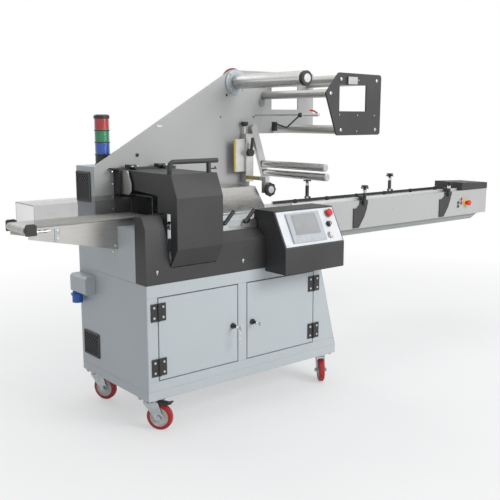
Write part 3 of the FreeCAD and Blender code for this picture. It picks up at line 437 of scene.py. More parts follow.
def grey_coat(name="cabinet_coat", part="coat"):
    """Light grey powder coat: a fine orange peel and a faint cloudiness."""
    tone = tuple(getattr(bpy.context.scene.wrapper_machine, part))
    shader = Shader(name)
    cloud = shader.noise(2.2, 2.0)
    grain = shader.noise(700.0, 2.0)
    dust = shader.noise(38.0, 4.0, 0.6)
    low = tuple(channel * 0.955 for channel in tone)
    shade = shader.mix(shader.range(cloud, 0.35, 0.65), low, tone)
    settled = tuple(channel * 0.8 for channel in tone)
    shade = shader.mix(shader.range(dust, 0.62, 0.8, 0.0, 0.12), shade, settled)
    shader.set(Base_Color=shade, Roughness=shader.range(dust, 0.3, 0.7, 0.38, 0.5))
    shader.bump(grain, 0.10, 0.0004)
    return shader


def black_coat():
    """Textured black powder coat: pebbled, with a soft sheen."""
    shader = Shader("black_coat")
    pebble = shader.noise(520.0, 3.0, 0.6)
    cloud = shader.noise(3.0, 3.0)
    shade = shader.mix(shader.range(cloud, 0.35, 0.65), (0.028, 0.028, 0.029), (0.040, 0.040, 0.041))
    shader.set(Base_Color=shade, Roughness=shader.range(pebble, 0.3, 0.7, 0.46, 0.66))
    shader.bump(pebble, 0.35, 0.0006)
    return shader


def brushed(axis="x", tone=(0.52, 0.51, 0.49), gloss=0.30):
    """Brushed stainless sheet: fine lines along one direction."""
    shader = Shader(f"brushed_{axis}")
    long, fine = 6.0, 900.0
    stretch = {"x": (long, fine, fine), "y": (fine, long, fine), "z": (fine, fine, long)}[axis]
    lines = shader.noise(1.0, 3.0, 0.6, shader.stretched(*stretch))
    smear = shader.noise(9.0, 3.0)
    dark = tuple(part * 0.86 for part in tone)
    shade = shader.mix(shader.range(lines, 0.3, 0.7), dark, tone)
    rough = (shader.range(lines, 0.3, 0.7, gloss - 0.05, gloss + 0.07)
             + shader.range(smear, 0.4, 0.7, 0.0, 0.07))
    shader.set(Base_Color=shade, Metallic=1.0, Roughness=rough)
    shader.bump(lines, 0.12, 0.0003)
    return shader


def bright_steel():
    """Ground or plated steel, nearly a mirror with faint turning marks."""
    shader = Shader("bright_steel")
    marks = shader.noise(1.0, 2.0, 0.5, shader.stretched(120.0, 1500.0, 120.0))
    shader.set(Base_Color=(0.62, 0.63, 0.64), Metallic=1.0,
               Roughness=shader.range(marks, 0.3, 0.7, 0.12, 0.22))
    shader.bump(marks, 0.05, 0.0002)
    return shader


def zinc():
    """Zinc plated pressed steel: a soft spangle."""
    shader = Shader("zinc")
    spangle = shader.node("ShaderNodeTexVoronoi", {}, shader.place, None, 160.0)[0]
    cloud = shader.noise(30.0, 4.0)
    shade = shader.mix(shader.range(cloud, 0.3, 0.7), (0.36, 0.38, 0.40), (0.52, 0.54, 0.56))
    shader.set(Base_Color=shade, Metallic=0.9, Roughness=shader.range(spangle, 0.1, 0.9, 0.34, 0.5))
    shader.bump(cloud, 0.08, 0.0004)
    return shader


def plastic(name, tone, gloss=0.38, grain=0.12):
    """Moulded plastic with a fine spark-eroded grain."""
    shader = Shader(name)
    fine = shader.noise(900.0, 2.0)
    cloud = shader.noise(25.0, 3.0)
    shade = shader.mix(shader.range(cloud, 0.3, 0.7), tuple(part * 0.9 for part in tone), tone)
    shader.set(Base_Color=shade, Roughness=shader.range(fine, 0.3, 0.7, gloss - 0.05, gloss + 0.08))
    shader.bump(fine, grain, 0.0004)
    return shader


def black_plastic():
    return plastic("black_plastic", (0.022, 0.022, 0.023), 0.42)


def red_plastic():
    return plastic("red_plastic", (0.72, 0.035, 0.030), 0.25, 0.04)


def blue_plastic():
    return plastic("blue_plastic", (0.02, 0.13, 0.52), 0.32, 0.05)


def yellow_plastic():
    return plastic("yellow_plastic", (0.80, 0.60, 0.03), 0.35, 0.05)


def white_plastic():
    return plastic("white_plastic", (0.72, 0.72, 0.70), 0.35, 0.05)


def grey_plastic():
    return plastic("grey_plastic", (0.33, 0.35, 0.37), 0.38, 0.06)


def belt_fabric():
    """Off-white conveyor belt: a fine fabric weave under a matt cover."""
    shader = Shader("belt_fabric")
    x, y, _ = shader.split()
    weave = (x * 5200.0).wave() * (y * 5200.0).wave()
    scuff = shader.noise(1.0, 4.0, 0.6, shader.stretched(9.0, 60.0, 9.0))
    shade = shader.mix(shader.range(scuff, 0.45, 0.75), (0.74, 0.73, 0.68), (0.62, 0.61, 0.57))
    shader.set(Base_Color=shade, Roughness=shader.range(scuff, 0.3, 0.7, 0.5, 0.68))
    shader.bump(weave, 0.15, 0.0003)
    return shader


def clear_sheet(top):
    """Clear grey sheet with a clean gloss and faint smears; the roof is made darker with more grey coverage,
    as painted shade.
    """
    shader = Shader("clear_sheet")
    smear = shader.noise(14.0, 3.0)
    # painted shade: the roof's faces get more grey coverage than the sides, so the top reads darker
    roof = shader.range(shader.split()[2], top - 4 * MM, top - 3 * MM)
    tint_and_roof_shade = shader.range(smear, 0.3, 0.7, 0.15, 0.19) + roof * 0.10
    shader.set(Base_Color=(0.10, 0.10, 0.105), Alpha=tint_and_roof_shade,
               Roughness=shader.range(smear, 0.3, 0.7, 0.05, 0.12))
    return shader


def sheet_edge():
    """The polished edge of the clear sheet, where the light gathers."""
    shader = Shader("sheet_edge")
    cloud = shader.noise(60.0, 2.0)
    shade = shader.mix(shader.range(cloud, 0.3, 0.7), (0.42, 0.44, 0.45), (0.60, 0.62, 0.63))
    shader.set(Base_Color=shade, Roughness=shader.range(cloud, 0.3, 0.7, 0.1, 0.2))
    return shader


def wheel_finish(centre, axis, hub):
    """Red polyurethane tyre on an off-white hub with a steel bearing, told apart by radius."""
    shader = Shader("wheel_finish")
    radius = shader.distance(centre, axis)
    scuff = shader.noise(60.0, 4.0, 0.6)
    tyre = shader.mix(shader.range(scuff, 0.5, 0.75), (0.42, 0.012, 0.016), (0.16, 0.010, 0.012))
    body = shader.mix(shader.range(scuff, 0.4, 0.7), (0.62, 0.62, 0.60), (0.50, 0.50, 0.48))
    shade = shader.mix(radius > hub, body, tyre)
    core = shader.range(radius, 0.0165, 0.017, 1.0, 0.0)
    shade = shader.mix(core, shade, (0.5, 0.5, 0.5))
    shader.set(Base_Color=shade, Metallic=core, Roughness=shader.range(scuff, 0.3, 0.7, 0.35, 0.5))
    shader.bump(scuff, 0.08, 0.0005)
    return shader


def lamp_lens(low, height):
    """Three ribbed lenses one above another: blue, green and red from below."""
    shader = Shader("lamp_lens")
    z = shader.split()[2]
    level = (z - low) / height
    shade = shader.mix(level > 1.03, (0.010, 0.10, 0.50), (0.010, 0.26, 0.10))
    shade = shader.mix(level > 2.06, shade, (0.50, 0.012, 0.020))
    ribs = (z * 2200.0).wave()
    streak = shader.noise(60.0, 2.0)
    shader.set(Base_Color=shade, Roughness=shader.range(streak, 0.3, 0.7, 0.12, 0.2), Coat_Weight=0.6)
    shader.bump(ribs, 0.25, 0.0008)
    return shader


def drum_finish(centre, axis, rim):
    """A black drum with a dark red painted rim."""
    shader = Shader("drum_finish")
    radius = shader.distance(centre, axis)
    cloud = shader.noise(40.0, 3.0)
    face = shader.mix(shader.range(cloud, 0.3, 0.7), (0.05, 0.05, 0.052), (0.08, 0.08, 0.082))
    paint_edge = shader.mix(shader.range(cloud, 0.3, 0.7), (0.20, 0.015, 0.018), (0.27, 0.02, 0.024))
    shader.set(Base_Color=shader.mix(radius > rim, face, paint_edge),
               Roughness=shader.range(cloud, 0.3, 0.7, 0.35, 0.5))
    return shader


def scale_finish(axis, low):
    """A yellow steel rule with black divisions."""
    shader = Shader(f"{axis}_scale_finish")
    run = (shader.split()["xyz".index(axis)] - low) / (5 * MM)
    part = run.calc("FRACT")
    tick = part < 0.22
    wear = shader.noise(80.0, 3.0)
    ground = shader.mix(shader.range(wear, 0.4, 0.7), (0.78, 0.58, 0.05), (0.66, 0.48, 0.05))
    shader.set(Base_Color=shader.mix(tick, ground, (0.03, 0.03, 0.03)),
               Roughness=shader.range(wear, 0.3, 0.7, 0.35, 0.5))
    return shader


def display_finish():
    """A resting display behind its cover glass."""
    shader = Shader("display_finish")
    cloud = shader.noise(8.0, 2.0)
    shade = shader.mix(shader.range(cloud, 0.35, 0.65), (0.30, 0.31, 0.32), (0.36, 0.365, 0.37))
    shader.set(Base_Color=shade, Roughness=shader.range(cloud, 0.3, 0.7, 0.10, 0.16), Coat_Weight=0.5)
    return shader


def screen_bezel():
    """The screen's light grey moulded case."""
    return plastic("screen_bezel", (0.50, 0.53, 0.56), 0.34, 0.05)


def key_plastic():
    """Pale rubber keys."""
    return plastic("key_plastic", (0.60, 0.62, 0.64), 0.5, 0.05)


def pale_sheet():
    """Pale lacquered metal sheet."""
    shader = Shader("pale_sheet")
    cloud = shader.noise(12.0, 3.0)
    shade = shader.mix(shader.range(cloud, 0.3, 0.7), (0.70, 0.725, 0.75), (0.76, 0.78, 0.80))
    shader.set(Base_Color=shade, Roughness=shader.range(cloud, 0.3, 0.7, 0.32, 0.42))
    shader.bump(shader.noise(600.0, 2.0), 0.04, 0.0003)
    return shader


SLOT_FINISH = {
    "grey_paint": grey_coat, "black_paint": black_coat, "stainless": brushed, "steel": bright_steel,
    "zinc": zinc, "black_plastic": black_plastic, "belt": belt_fabric, "blue_plastic": blue_plastic,
    "red_plastic": red_plastic, "panel": pale_sheet, "screen": grey_plastic,
}


# ---------------------------------------------------------------- hardware

def screws(name, places, direction, body, radius=4.0 * MM, finish=bright_steel):
    """Low round heads with a socket, at places on a surface whose outward normal is `direction`."""
    rise = radius * 0.62
    profile = [(-0.2 * MM, 0), (-0.2 * MM, radius), (rise * 0.55, radius), (rise * 0.9, radius * 0.8),
               (rise, radius * 0.52), (rise, radius * 0.40), (rise * 0.4, radius * 0.40), (rise * 0.4, 0)]
    obj = lathes(name, profile, places, direction, body, 18)
    return paint(obj, material(finish))


def hex_bolts(name, places, direction, body, radius=7.0 * MM):
    """Hexagon heads on washers."""
    washer = [(-0.2 * MM, 0), (-0.2 * MM, radius * 1.5), (radius * 0.2, radius * 1.5), (radius * 0.2, 0)]
    head = [(0, 0), (0, radius), (radius * 0.75, radius), (radius * 0.9, radius * 0.8), (radius * 0.9, 0)]
    paint(lathes(f"{name}_washers", washer, places, direction, body, 20), material(zinc))
    return paint(lathes(name, head, places, direction, body, 6, 20.0), material(zinc))


def socket_bolts(name, places, direction, body, radius=8.0 * MM, rise=8.0 * MM):
    """Cylinder heads with a deep socket and a rounded rim."""
    profile = [(-0.2 * MM, 0), (-0.2 * MM, radius), (rise - radius * 0.18, radius), (rise, radius * 0.84),
               (rise, radius * 0.5), (rise * 0.35, radius * 0.5), (rise * 0.35, 0)]
    return paint(lathes(name, profile, places, direction, body, 20), material(bright_steel))


def row_places(start, end, count):
    """Evenly spaced places from one point to another, both included."""
    share = np.linspace(0, 1, count)[:, None]
    return np.asarray(start, float) * (1 - share) + np.asarray(end, float) * share


PANEL_INSET = 8
LEFT, RIGHT = (-1, 0, 0), (1, 0, 0)
FRONT, REAR = (0, -1, 0), (0, 1, 0)
UP, DOWN = (0, 0, 1), (0, 0, -1)


# ---------------------------------------------------------------- settings

class MachineSettings(bpy.types.PropertyGroup):
    """Colours and sizes that the whole machine shares."""
    coat: FloatVectorProperty(name="Coat", description="Colour of the light grey powder coat",
                              default=(0.50, 0.545, 0.565), subtype="COLOR", min=0, max=1)
    stand: FloatVectorProperty(name="Stand coat", description="Colour of the film stand's powder coat",
                               default=(0.47, 0.475, 0.465), subtype="COLOR", min=0, max=1)
    channel: FloatVectorProperty(name="Channel coat", description="Colour of the table's lower channel",
                                 default=(0.30, 0.31, 0.31), subtype="COLOR", min=0, max=1)
    fold: FloatProperty(name="Folded edge", description="Radius of a folded sheet's edges",
                        default=1.6 * MM, unit="LENGTH")
    edge: FloatProperty(name="Machined edge", description="Width of a broken edge on plates and blocks",
                        default=0.8 * MM, unit="LENGTH")
    bolt: FloatProperty(name="Frame bolt", description="Radius of a bolt head on the film stand",
                        default=9 * MM, unit="LENGTH")
    hinge_screw: FloatProperty(name="Hinge screw", description="Radius of a hinge screw's cap",
                               default=5.5 * MM, unit="LENGTH")


class StageSettings(bpy.types.PropertyGroup):
    """The camera, the lamps and the floor."""
    lens: FloatProperty(name="Lens", description="Focal length on a 36 mm sensor", default=54.4)
    key: FloatProperty(name="Key light", description="Power of the main lamp", default=260.0)
    fill: FloatProperty(name="Fill light", description="Power of the soft fill", default=70.0)
    world: FloatProperty(name="Surroundings", description="Strength of the plain surroundings", default=0.40)


# ---------------------------------------------------------------- pieces

class WRAPPER_OT_finishes(bpy.types.Operator):
    """Give every piece of the frame its finish"""
    bl_idname = "wrapper.finishes"
    bl_label = "Finishes"

    def execute(self, context):
        for node, obj in frame["nodes"].items():
            if SLOTS[node] in SLOT_FINISH:
                paint(obj, material(SLOT_FINISH[SLOTS[node]]))
        return {"FINISHED"}


class WRAPPER_OT_cabinet(bpy.types.Operator):
    """Finish the cabinet: sheet panels, doors, hinges, locks with keys, grilles and the power inlet"""
    bl_idname = "wrapper.cabinet"
    bl_label = "Cabinet"

    def execute(self, context):
        sizes = context.scene.wrapper_machine
        for node in ("base_frame", "cabinet_ends", "cabinet_back", "front_rails", "front_posts",
                     "left_door", "right_door", "inlet_box", "electrical_box", "machine_bed"):
            paint(finished(node, sizes.fold), material(grey_coat))
        self.hinge_screws(sizes.hinge_screw)
        self.locks()
        self.end_panel()
        self.rear_screws(7)
        return {"FINISHED"}

    def hinge_screws(self, radius):
        """Four caps on each hinge: two on the fixed leaf and two on the door's."""
        low, high = corners("hinge_frame_leaves")
        face, leaf, reach, inset = corners("front_posts")[0][1] - 5 * MM, 82 * MM, 24 * MM, 17 * MM
        rows = [z + part for z in (low[2], high[2] - leaf) for part in (inset, leaf - inset)]
        for side, edge, sign in (("left", low[0], 1), ("right", high[0], -1)):
            pin = edge + sign * 39 * MM
            for name, body, spread in (("fixed", "frame", -1), ("moving", f"{side}_door_leaf", 1)):
                places = [(pin + sign * spread * reach, face, z) for z in rows]
                caps = screws(f"{side}_{name}_hinge_caps", places, FRONT, body, radius)
                paint(caps, material(white_plastic))

    def locks(self):
        """A steel core in each lock's knob, with a key in it; the left one has a second key on a ring."""
        for side in ("left", "right"):
            body = f"{side}_door_leaf"
            end, inward = (1, -14) if side == "left" else (0, 14)
            centre = at(f"{side}_door_fittings", (end, 0, 0), (inward, 0, 162))
            core = [(-0.2 * MM, 0), (-0.2 * MM, 8 * MM), (1.2 * MM, 8 * MM), (2 * MM, 7 * MM), (2 * MM, 0)]
            paint(lathes(f"{side}_lock_core", core, [centre], FRONT, body), material(bright_steel))
            blade = [(-3 * MM, -1.2 * MM), (3 * MM, -1.2 * MM), (3 * MM, 1.2 * MM), (-3 * MM, 1.2 * MM)]
            paint(prism(f"{side}_key_blade", blade, centre - np.array((0, 1.5 * MM, 0)), RIGHT, UP, 12 * MM,
                        body), material(bright_steel))
            head = centre - np.array((0.6 * MM, 22 * MM, 0))
            paint(prism(f"{side}_key_head", rounded(19 * MM, 21 * MM, 9 * MM), head, REAR, UP, 1.4 * MM,
                        body, 0.3 * MM), material(bright_steel))
        centre_left = at("left_door_fittings", (1, 0, 0), (-14, 0, 162))
        turn = np.linspace(0, 2 * np.pi, 25)
        ring = centre_of_ring(turn, centre_left - np.array((0, 22, 19)) * MM, 11 * MM)
        paint(tube("key_ring", ring, 0.8 * MM, "left_door_leaf", 8), material(bright_steel))
        spare = ring[0] - np.array((0, 0, 24 * MM))
        paint(prism("spare_key_head", rounded(16 * MM, 18 * MM, 7.5 * MM), spare, RIGHT, UP, 1.4 * MM,
                    "left_door_leaf", 0.3 * MM), material(bright_steel))
        paint(prism("spare_key_blade", rounded(5 * MM, 26 * MM, 1.2 * MM), spare - np.array((0, 0, 20 * MM)),
                    RIGHT, UP, 1.4 * MM, "left_door_leaf", 0.3 * MM), material(bright_steel))

    def end_panel(self):
        """Screws in the grilles' corners, bolts on the bed's end and screws on the inlet box."""
        low, high = corners("fan_grilles")
        for name, y0, z0, width, height in (("lower", low[1], low[2], 158, 125),
                                            ("upper", high[1] - 145 * MM, high[2] - 148 * MM, 145, 148)):
            places = [(low[0], y0 + part * MM, z0 + level * MM) for part in (6, width - 6)
                      for level in (6, height - 6)]
            paint(screws(f"{name}_grille_screws", places, LEFT, "frame", 3 * MM), material(black_plastic))
        bed = [at("machine_bed", (0, 0.35, 0.5)), at("machine_bed", (0, 0.75, 0.62))]
        screws("bed_end_bolts", bed, LEFT, "frame", 6 * MM)
        box = [at("inlet_box", (0, a, b), (0, 8 - 16 * a, 8 - 16 * b)) for a in (0, 1) for b in (0, 1)]
        screws("inlet_box_screws", box, LEFT, "frame", 3 * MM)

    def rear_screws(self, count):
        """Two rows of screws that hold the rear panel."""
        inset, lean = 18, 125
        rows = []
        for share in (0, 1):
            rise = inset * (1 - 2 * share)
            start = at("cabinet_back", (0, 1, share), (inset, 0, rise))
            end = at("cabinet_back", (1, 1, share), (-inset - lean * share, 0, rise))
            rows.append(row_places(start, end, count))
        screws("rear_panel_screws", np.concatenate(rows), REAR, "frame")
        box = [at("electrical_box", (a, 1, b), (20 - 40 * a, 0, 20 - 40 * b))
               for a in (0, 0.5, 1) for b in (0, 1)]
        screws("electrical_box_screws", box, REAR, "frame")


def centre_of_ring(turn, centre, radius):
    """A ring in the upright plane across the machine: centre + radius * (cos t, 0, sin t)."""
    return np.asarray(centre) + radius * np.stack([np.cos(turn - np.pi / 2), 0.15 * np.sin(turn),
                                                   np.sin(turn - np.pi / 2)], 1)


class WRAPPER_OT_castors(bpy.types.Operator):
    """Finish the castors: tyres and hubs told apart, axle nuts, plate bolts and the brake pedal"""
    bl_idname = "wrapper.castors"
    bl_label = "Castors"

    def execute(self, context):
        places = []
        for corner in ("front_left", "rear_left", "front_right", "rear_right"):
            joint = JOINTS[f"wheel_turn_{corner}"]
            centre, axis = np.array(joint["pos_m"]), unit(joint["axis"])
            wheel = finished(f"castor_wheel_{corner}", 0.0)
            paint(wheel, wheel_finish(tuple(centre), tuple(axis), 0.0452).material)
            fork = paint(finished(f"castor_fork_{corner}", 0.8 * MM), material(zinc))
            if corner == "front_left":
                self.pedal(fork)
            for sign, side in ((1, "near"), (-1, "far")):
                hex_bolts(f"axle_nut_{corner}_{side}", [centre + sign * axis * 27 * MM], sign * axis,
                          f"swivel_{corner}", 8 * MM)
            x, y, _ = JOINTS[f"swivel_turn_{corner}"]["pos_m"]
            places += [(x + a * 42 * MM, y + b * 33 * MM, corners("castor_plates")[0][2])
                       for a in (-1, 1) for b in (-1, 1)]
        hex_bolts("castor_plate_bolts", places, DOWN, "frame", 6.5 * MM)
        return {"FINISHED"}

    def pedal(self, fork):
        """The pedal is black."""
        level = 0.131
        paint_faces(fork, material(black_plastic), lambda x, y, z: np.abs(z - level) < 8 * MM)


class WRAPPER_OT_jaw_section(bpy.types.Operator):
    """Finish the front fascia, the jaw cover and the jaw housing with their bolts"""
    bl_idname = "wrapper.jaw_section"
    bl_label = "Jaw section"

    def execute(self, context):
        sizes = context.scene.wrapper_machine
        for node in ("front_fascia", "jaw_cover", "jaw_housing", "jaw_bracket"):
            paint(finished(node, sizes.fold), material(SLOT_FINISH[SLOTS[node]]))
        keyholes = [at("front_fascia", (0, 0, 0), spot) for spot in ((59, 0, 60), (551, 0, 56))]
        paint(screws("fascia_screws", keyholes, FRONT, "frame", 6 * MM), material(white_plastic))
        slots = [place - np.array((0, 0.3 * MM, 9 * MM)) for place in keyholes]
        paint(blocks("fascia_keyholes", slots, (4 * MM, 1 * MM, 10 * MM), "frame"),
              material(white_plastic))
        self.cover_screws()
        self.jaw_teeth()
        return {"FINISHED"}

    def cover_screws(self):
        """Bolts through the hinge straps, and the handle's two feet."""
        x0 = [at("jaw_cover", (0, 1, 1), (offset, -38, -1255 + 1205.6)) for offset in (30, 60, 222, 252)]
        socket_bolts("cover_strap_bolts", x0, UP, body_name("jaw_cover"), 6 * MM, 5 * MM)
        ring = [(0, 11 * MM), (0, 17 * MM), (2 * MM, 17 * MM), (3.5 * MM, 15 * MM), (3.5 * MM, 11 * MM)]
        feet = [at("jaw_cover", (0, 0, 0), (offset, 80, 1202 - 770)) for offset in (16, 260)]
        paint(lathes("handle_feet", ring, feet, UP, body_name("jaw_cover")),
              material(black_plastic))
        low = corners("jaw_housing")[0]
        bolts = [(low[0], low[1] + 30 * MM, low[2] + level * MM) for level in (60, 120, 180, 240)]
        socket_bolts("housing_bolts", bolts, LEFT, "frame", 6 * MM, 5 * MM)

    def jaw_teeth(self):
        """Fine crimping teeth on the two jaw bars' facing sides."""
        low, high = corners("sealing_jaws")
        middle = 985 * MM
        count = 9
        x = np.linspace(low[0] + 9 * MM, high[0] - 9 * MM, count)
        for name, level in (("upper", middle + 1.2 * MM), ("lower", middle - 1.2 * MM)):
            centres = [(spot, (low[1] + high[1]) / 2, level) for spot in x]
            paint(blocks(f"{name}_jaw_teeth", centres, (1.6 * MM, (high[1] - low[1]) * 0.9, 1.4 * MM),
                         "frame"), material(bright_steel))


class WRAPPER_OT_outfeed(bpy.types.Operator):
    """Finish the outfeed: brushed side plates, belt, clear guard, tensioners and bolts"""
    bl_idname = "wrapper.outfeed"
    bl_label = "Outfeed"

    def execute(self, context):
        sizes = context.scene.wrapper_machine
        paint(finished("outfeed_frame", sizes.edge), material(brushed))
        low, high = corners("outfeed_guard")
        guard = paint(finished("outfeed_guard", 0.0), clear_sheet(high[2]).material)
        step = 0.6 * MM
        paint_faces(guard, material(sheet_edge),
                    lambda x, y, z: (x < low[0] + step) | (x > high[0] - step) | (z < low[2] + step))
        self.plate_details()
        self.belt_seam()
        return {"FINISHED"}

    def plate_details(self):
        """On each side plate: a doubler with two bolts, a slotted tensioner and two fixing bolts."""
        low, high = corners("outfeed_frame")
        for side, y, out in (("front", low[1], -1), ("rear", high[1], 1)):
            normal = (0, out, 0)
            across = (-out, 0, 0)
            doubler = (low[0] + 149 * MM, y, 0.931)
            paint(prism(f"{side}_doubler", rounded(26 * MM, 62 * MM, 3 * MM), doubler, across, UP, 3 * MM,
                        "frame", 0.5 * MM), material(zinc))
            screws(f"{side}_doubler_bolts", [(doubler[0], y + out * 3 * MM, z) for z in (0.913, 0.949)],
                   normal, "frame", 5.5 * MM)
            slot = (low[0] + 84 * MM, y, 0.953)
            paint(prism(f"{side}_tension_slot", rounded(44 * MM, 13 * MM, 6 * MM), slot, across, UP,
                        1.2 * MM, "frame"), material(black_plastic))
            axle = [(slot[0] - 6 * MM, y + out * 1.2 * MM, slot[2])]
            hex_bolts(f"{side}_tension_nut", axle, normal, "frame", 6 * MM)
            rod_path = np.array([(slot[0] - 34 * MM, y + out * 6 * MM, slot[2]),
                                 (slot[0] + 30 * MM, y + out * 6 * MM, slot[2])])
            paint(tube(f"{side}_tension_screw", rod_path, 3 * MM, "frame"), material(bright_steel))
            fixing = [(low[0] + 523 * MM, y, 0.927), (low[0] + 434 * MM, y, 0.828 + 24 * MM)]
            socket_bolts(f"{side}_plate_bolts", fixing, normal, "frame", 6 * MM, 5 * MM)

    def belt_seam(self):
        """A slanted joint across the belt's upper run, barely proud of it."""
        low, high = corners("outfeed_belt")
        y = np.linspace(low[1] + 1 * MM, high[1] - 1 * MM, 14)
        path = np.stack([low[0] + 0.20 + (y - low[1]) * 0.18, y, np.full(14, high[2])], 1)
        paint(tube("belt_seam", path, 0.5 * MM, "frame", 6), material(belt_fabric))


class WRAPPER_OT_film_stand(bpy.types.Operator):
    """Finish the film stand: plates, reel shaft, rollers, sensor and their bolts"""
    bl_idname = "wrapper.film_stand"
    bl_label = "Film stand"

    def execute(self, context):
        sizes = context.scene.wrapper_machine
        paint(finished("film_stand_plate", sizes.edge), material(grey_coat, "stand_coat", "stand"))
        paint(finished("front_frame_plate", sizes.edge), material(black_coat))
        paint(finished("idler_arm", sizes.edge), material(brushed, "z", (0.55, 0.55, 0.54), 0.32))
        paint(frame["nodes"]["tie_tubes"], material(brushed, "y", (0.50, 0.50, 0.48), 0.34))
        for node in ("upper_idler", "lower_idler"):
            paint(frame["nodes"][node], material(brushed, "y", (0.62, 0.62, 0.61), 0.22))
        self.reel()
        self.bolts(sizes.bolt)
        self.sensor()
        return {"FINISHED"}

    def reel(self):
        """The shaft's end knob, its white centre, the flange's bolts and the painted drum."""
        low, high = corners("reel_shaft")
        centre = np.array(((low[0] + high[0]) / 2, low[1], (low[2] + high[2]) / 2))
        shaft = paint(finished("reel_shaft", 0.5 * MM), material(brushed, "y", (0.60, 0.60, 0.59), 0.24))
        knob = 20 * MM
        paint_faces(shaft, material(black_plastic), lambda x, y, z: y < low[1] + knob)
        cap = [(-0.4 * MM, 0), (-0.4 * MM, 21 * MM), (1.5 * MM, 21 * MM), (2.5 * MM, 19 * MM), (3 * MM, 0)]
        paint(lathes("reel_knob_cap", cap, [centre], FRONT, "reel", 40), material(white_plastic))
        drum = finished("brake_drum", 0.4 * MM)
        paint(drum, drum_finish(tuple(centre), (0, 1, 0), 70 * MM).material)
        turn = np.arange(4) * np.pi / 2 + np.pi / 4
        front = corners("reel_bearing")[0][1] + 5 * MM
        circle = 58 * MM
        flange = np.stack([centre[0] + circle * np.cos(turn), np.full(4, front),
                           centre[2] + circle * np.sin(turn)], 1)
        socket_bolts("flange_bolts", flange, FRONT, "frame", 5 * MM, 5 * MM)

    def bolts(self, radius):
        """Bolt heads where tubes and fittings are held in the two plates."""
        tubes = ((104, 284), (30, 212), (372, 282), (106, 28), (368, 28))
        low = corners("front_frame_plate")[0]
        front = [low + np.array((x, 0, z)) * MM for x, z in tubes]
        screws("frame_bolts", front, FRONT, "frame", radius)
        spots = ((97, 105), (231, 103), (362, 101), (228, 20), (235, 281))
        small = [low + np.array((x, 0, z)) * MM for x, z in spots]
        paint(screws("frame_small_screws", small, FRONT, "frame", 4 * MM), material(zinc))
        block = low + np.array((182, -6, 278)) * MM
        paint(blocks("frame_window_block", [block], (68 * MM, 12 * MM, 38 * MM), "frame", 1.5 * MM),
              material(brushed))
        spots = ((241, 1254, 9), (802, 1556, 6), (721, 1175, 5), (760, 1440, 4), (990, 1440, 4))
        for number, (x, z, size) in enumerate(spots):
            place = at("film_stand_plate", (0, 0, 0), (x, 0, z - 940))
            head = screws(f"stand_screw_{number + 1}", [place], FRONT, "frame", size * MM)
            paint(head, material(black_plastic))
        cap = [(-0.4 * MM, 0), (-0.4 * MM, 22 * MM), (3 * MM, 22 * MM), (4.5 * MM, 20 * MM), (4.5 * MM, 0)]
        spot = at("film_stand_plate", (0, 0, 0), (1048, 0, 579))
        paint(lathes("stand_cap", cap, [spot], FRONT, "frame", 36), material(grey_plastic))
        oval = rounded(34 * MM, 12 * MM, 5.5 * MM)
        spot = at("film_stand_plate", (0, 0, 0), (374, 0, 454))
        paint(prism("stand_slot_cap", oval, spot, RIGHT, UP, 2 * MM, "frame", 0.5 * MM),
              material(zinc))
        rear = [at("film_stand_plate", (0, 1, 0), (x, 0, z - 940)) for x, z in
                ((1136, 1630), (1062, 1558), (1404, 1628), (1138, 1374), (1400, 1374))]
        screws("rear_tube_bolts", rear, REAR, "frame", radius)

    def sensor(self):
        """The sensor's rod is bright, its ball and head black, with a red clamp lever at the front."""
        low, high = corners("film_sensor")
        body = paint(finished("film_sensor", 0.0), material(bright_steel))
        ball = low[1] + 138 * MM
        paint_faces(body, material(black_plastic),
                    lambda x, y, z: ((np.abs(y - ball) < 14 * MM) & (z < high[2])) | (z < high[2] - 22 * MM))
        lever = np.array([(low[0] + 13 * MM, low[1] + 14 * MM, high[2] - 2 * MM),
                          (low[0] + 14 * MM, low[1] + 40 * MM, high[2] + 8 * MM),
                          (low[0] + 16 * MM, low[1] + 66 * MM, high[2] + 10 * MM)])
        paint(tube("sensor_clamp_lever", lever, 4.5 * MM, "frame"), material(red_plastic))


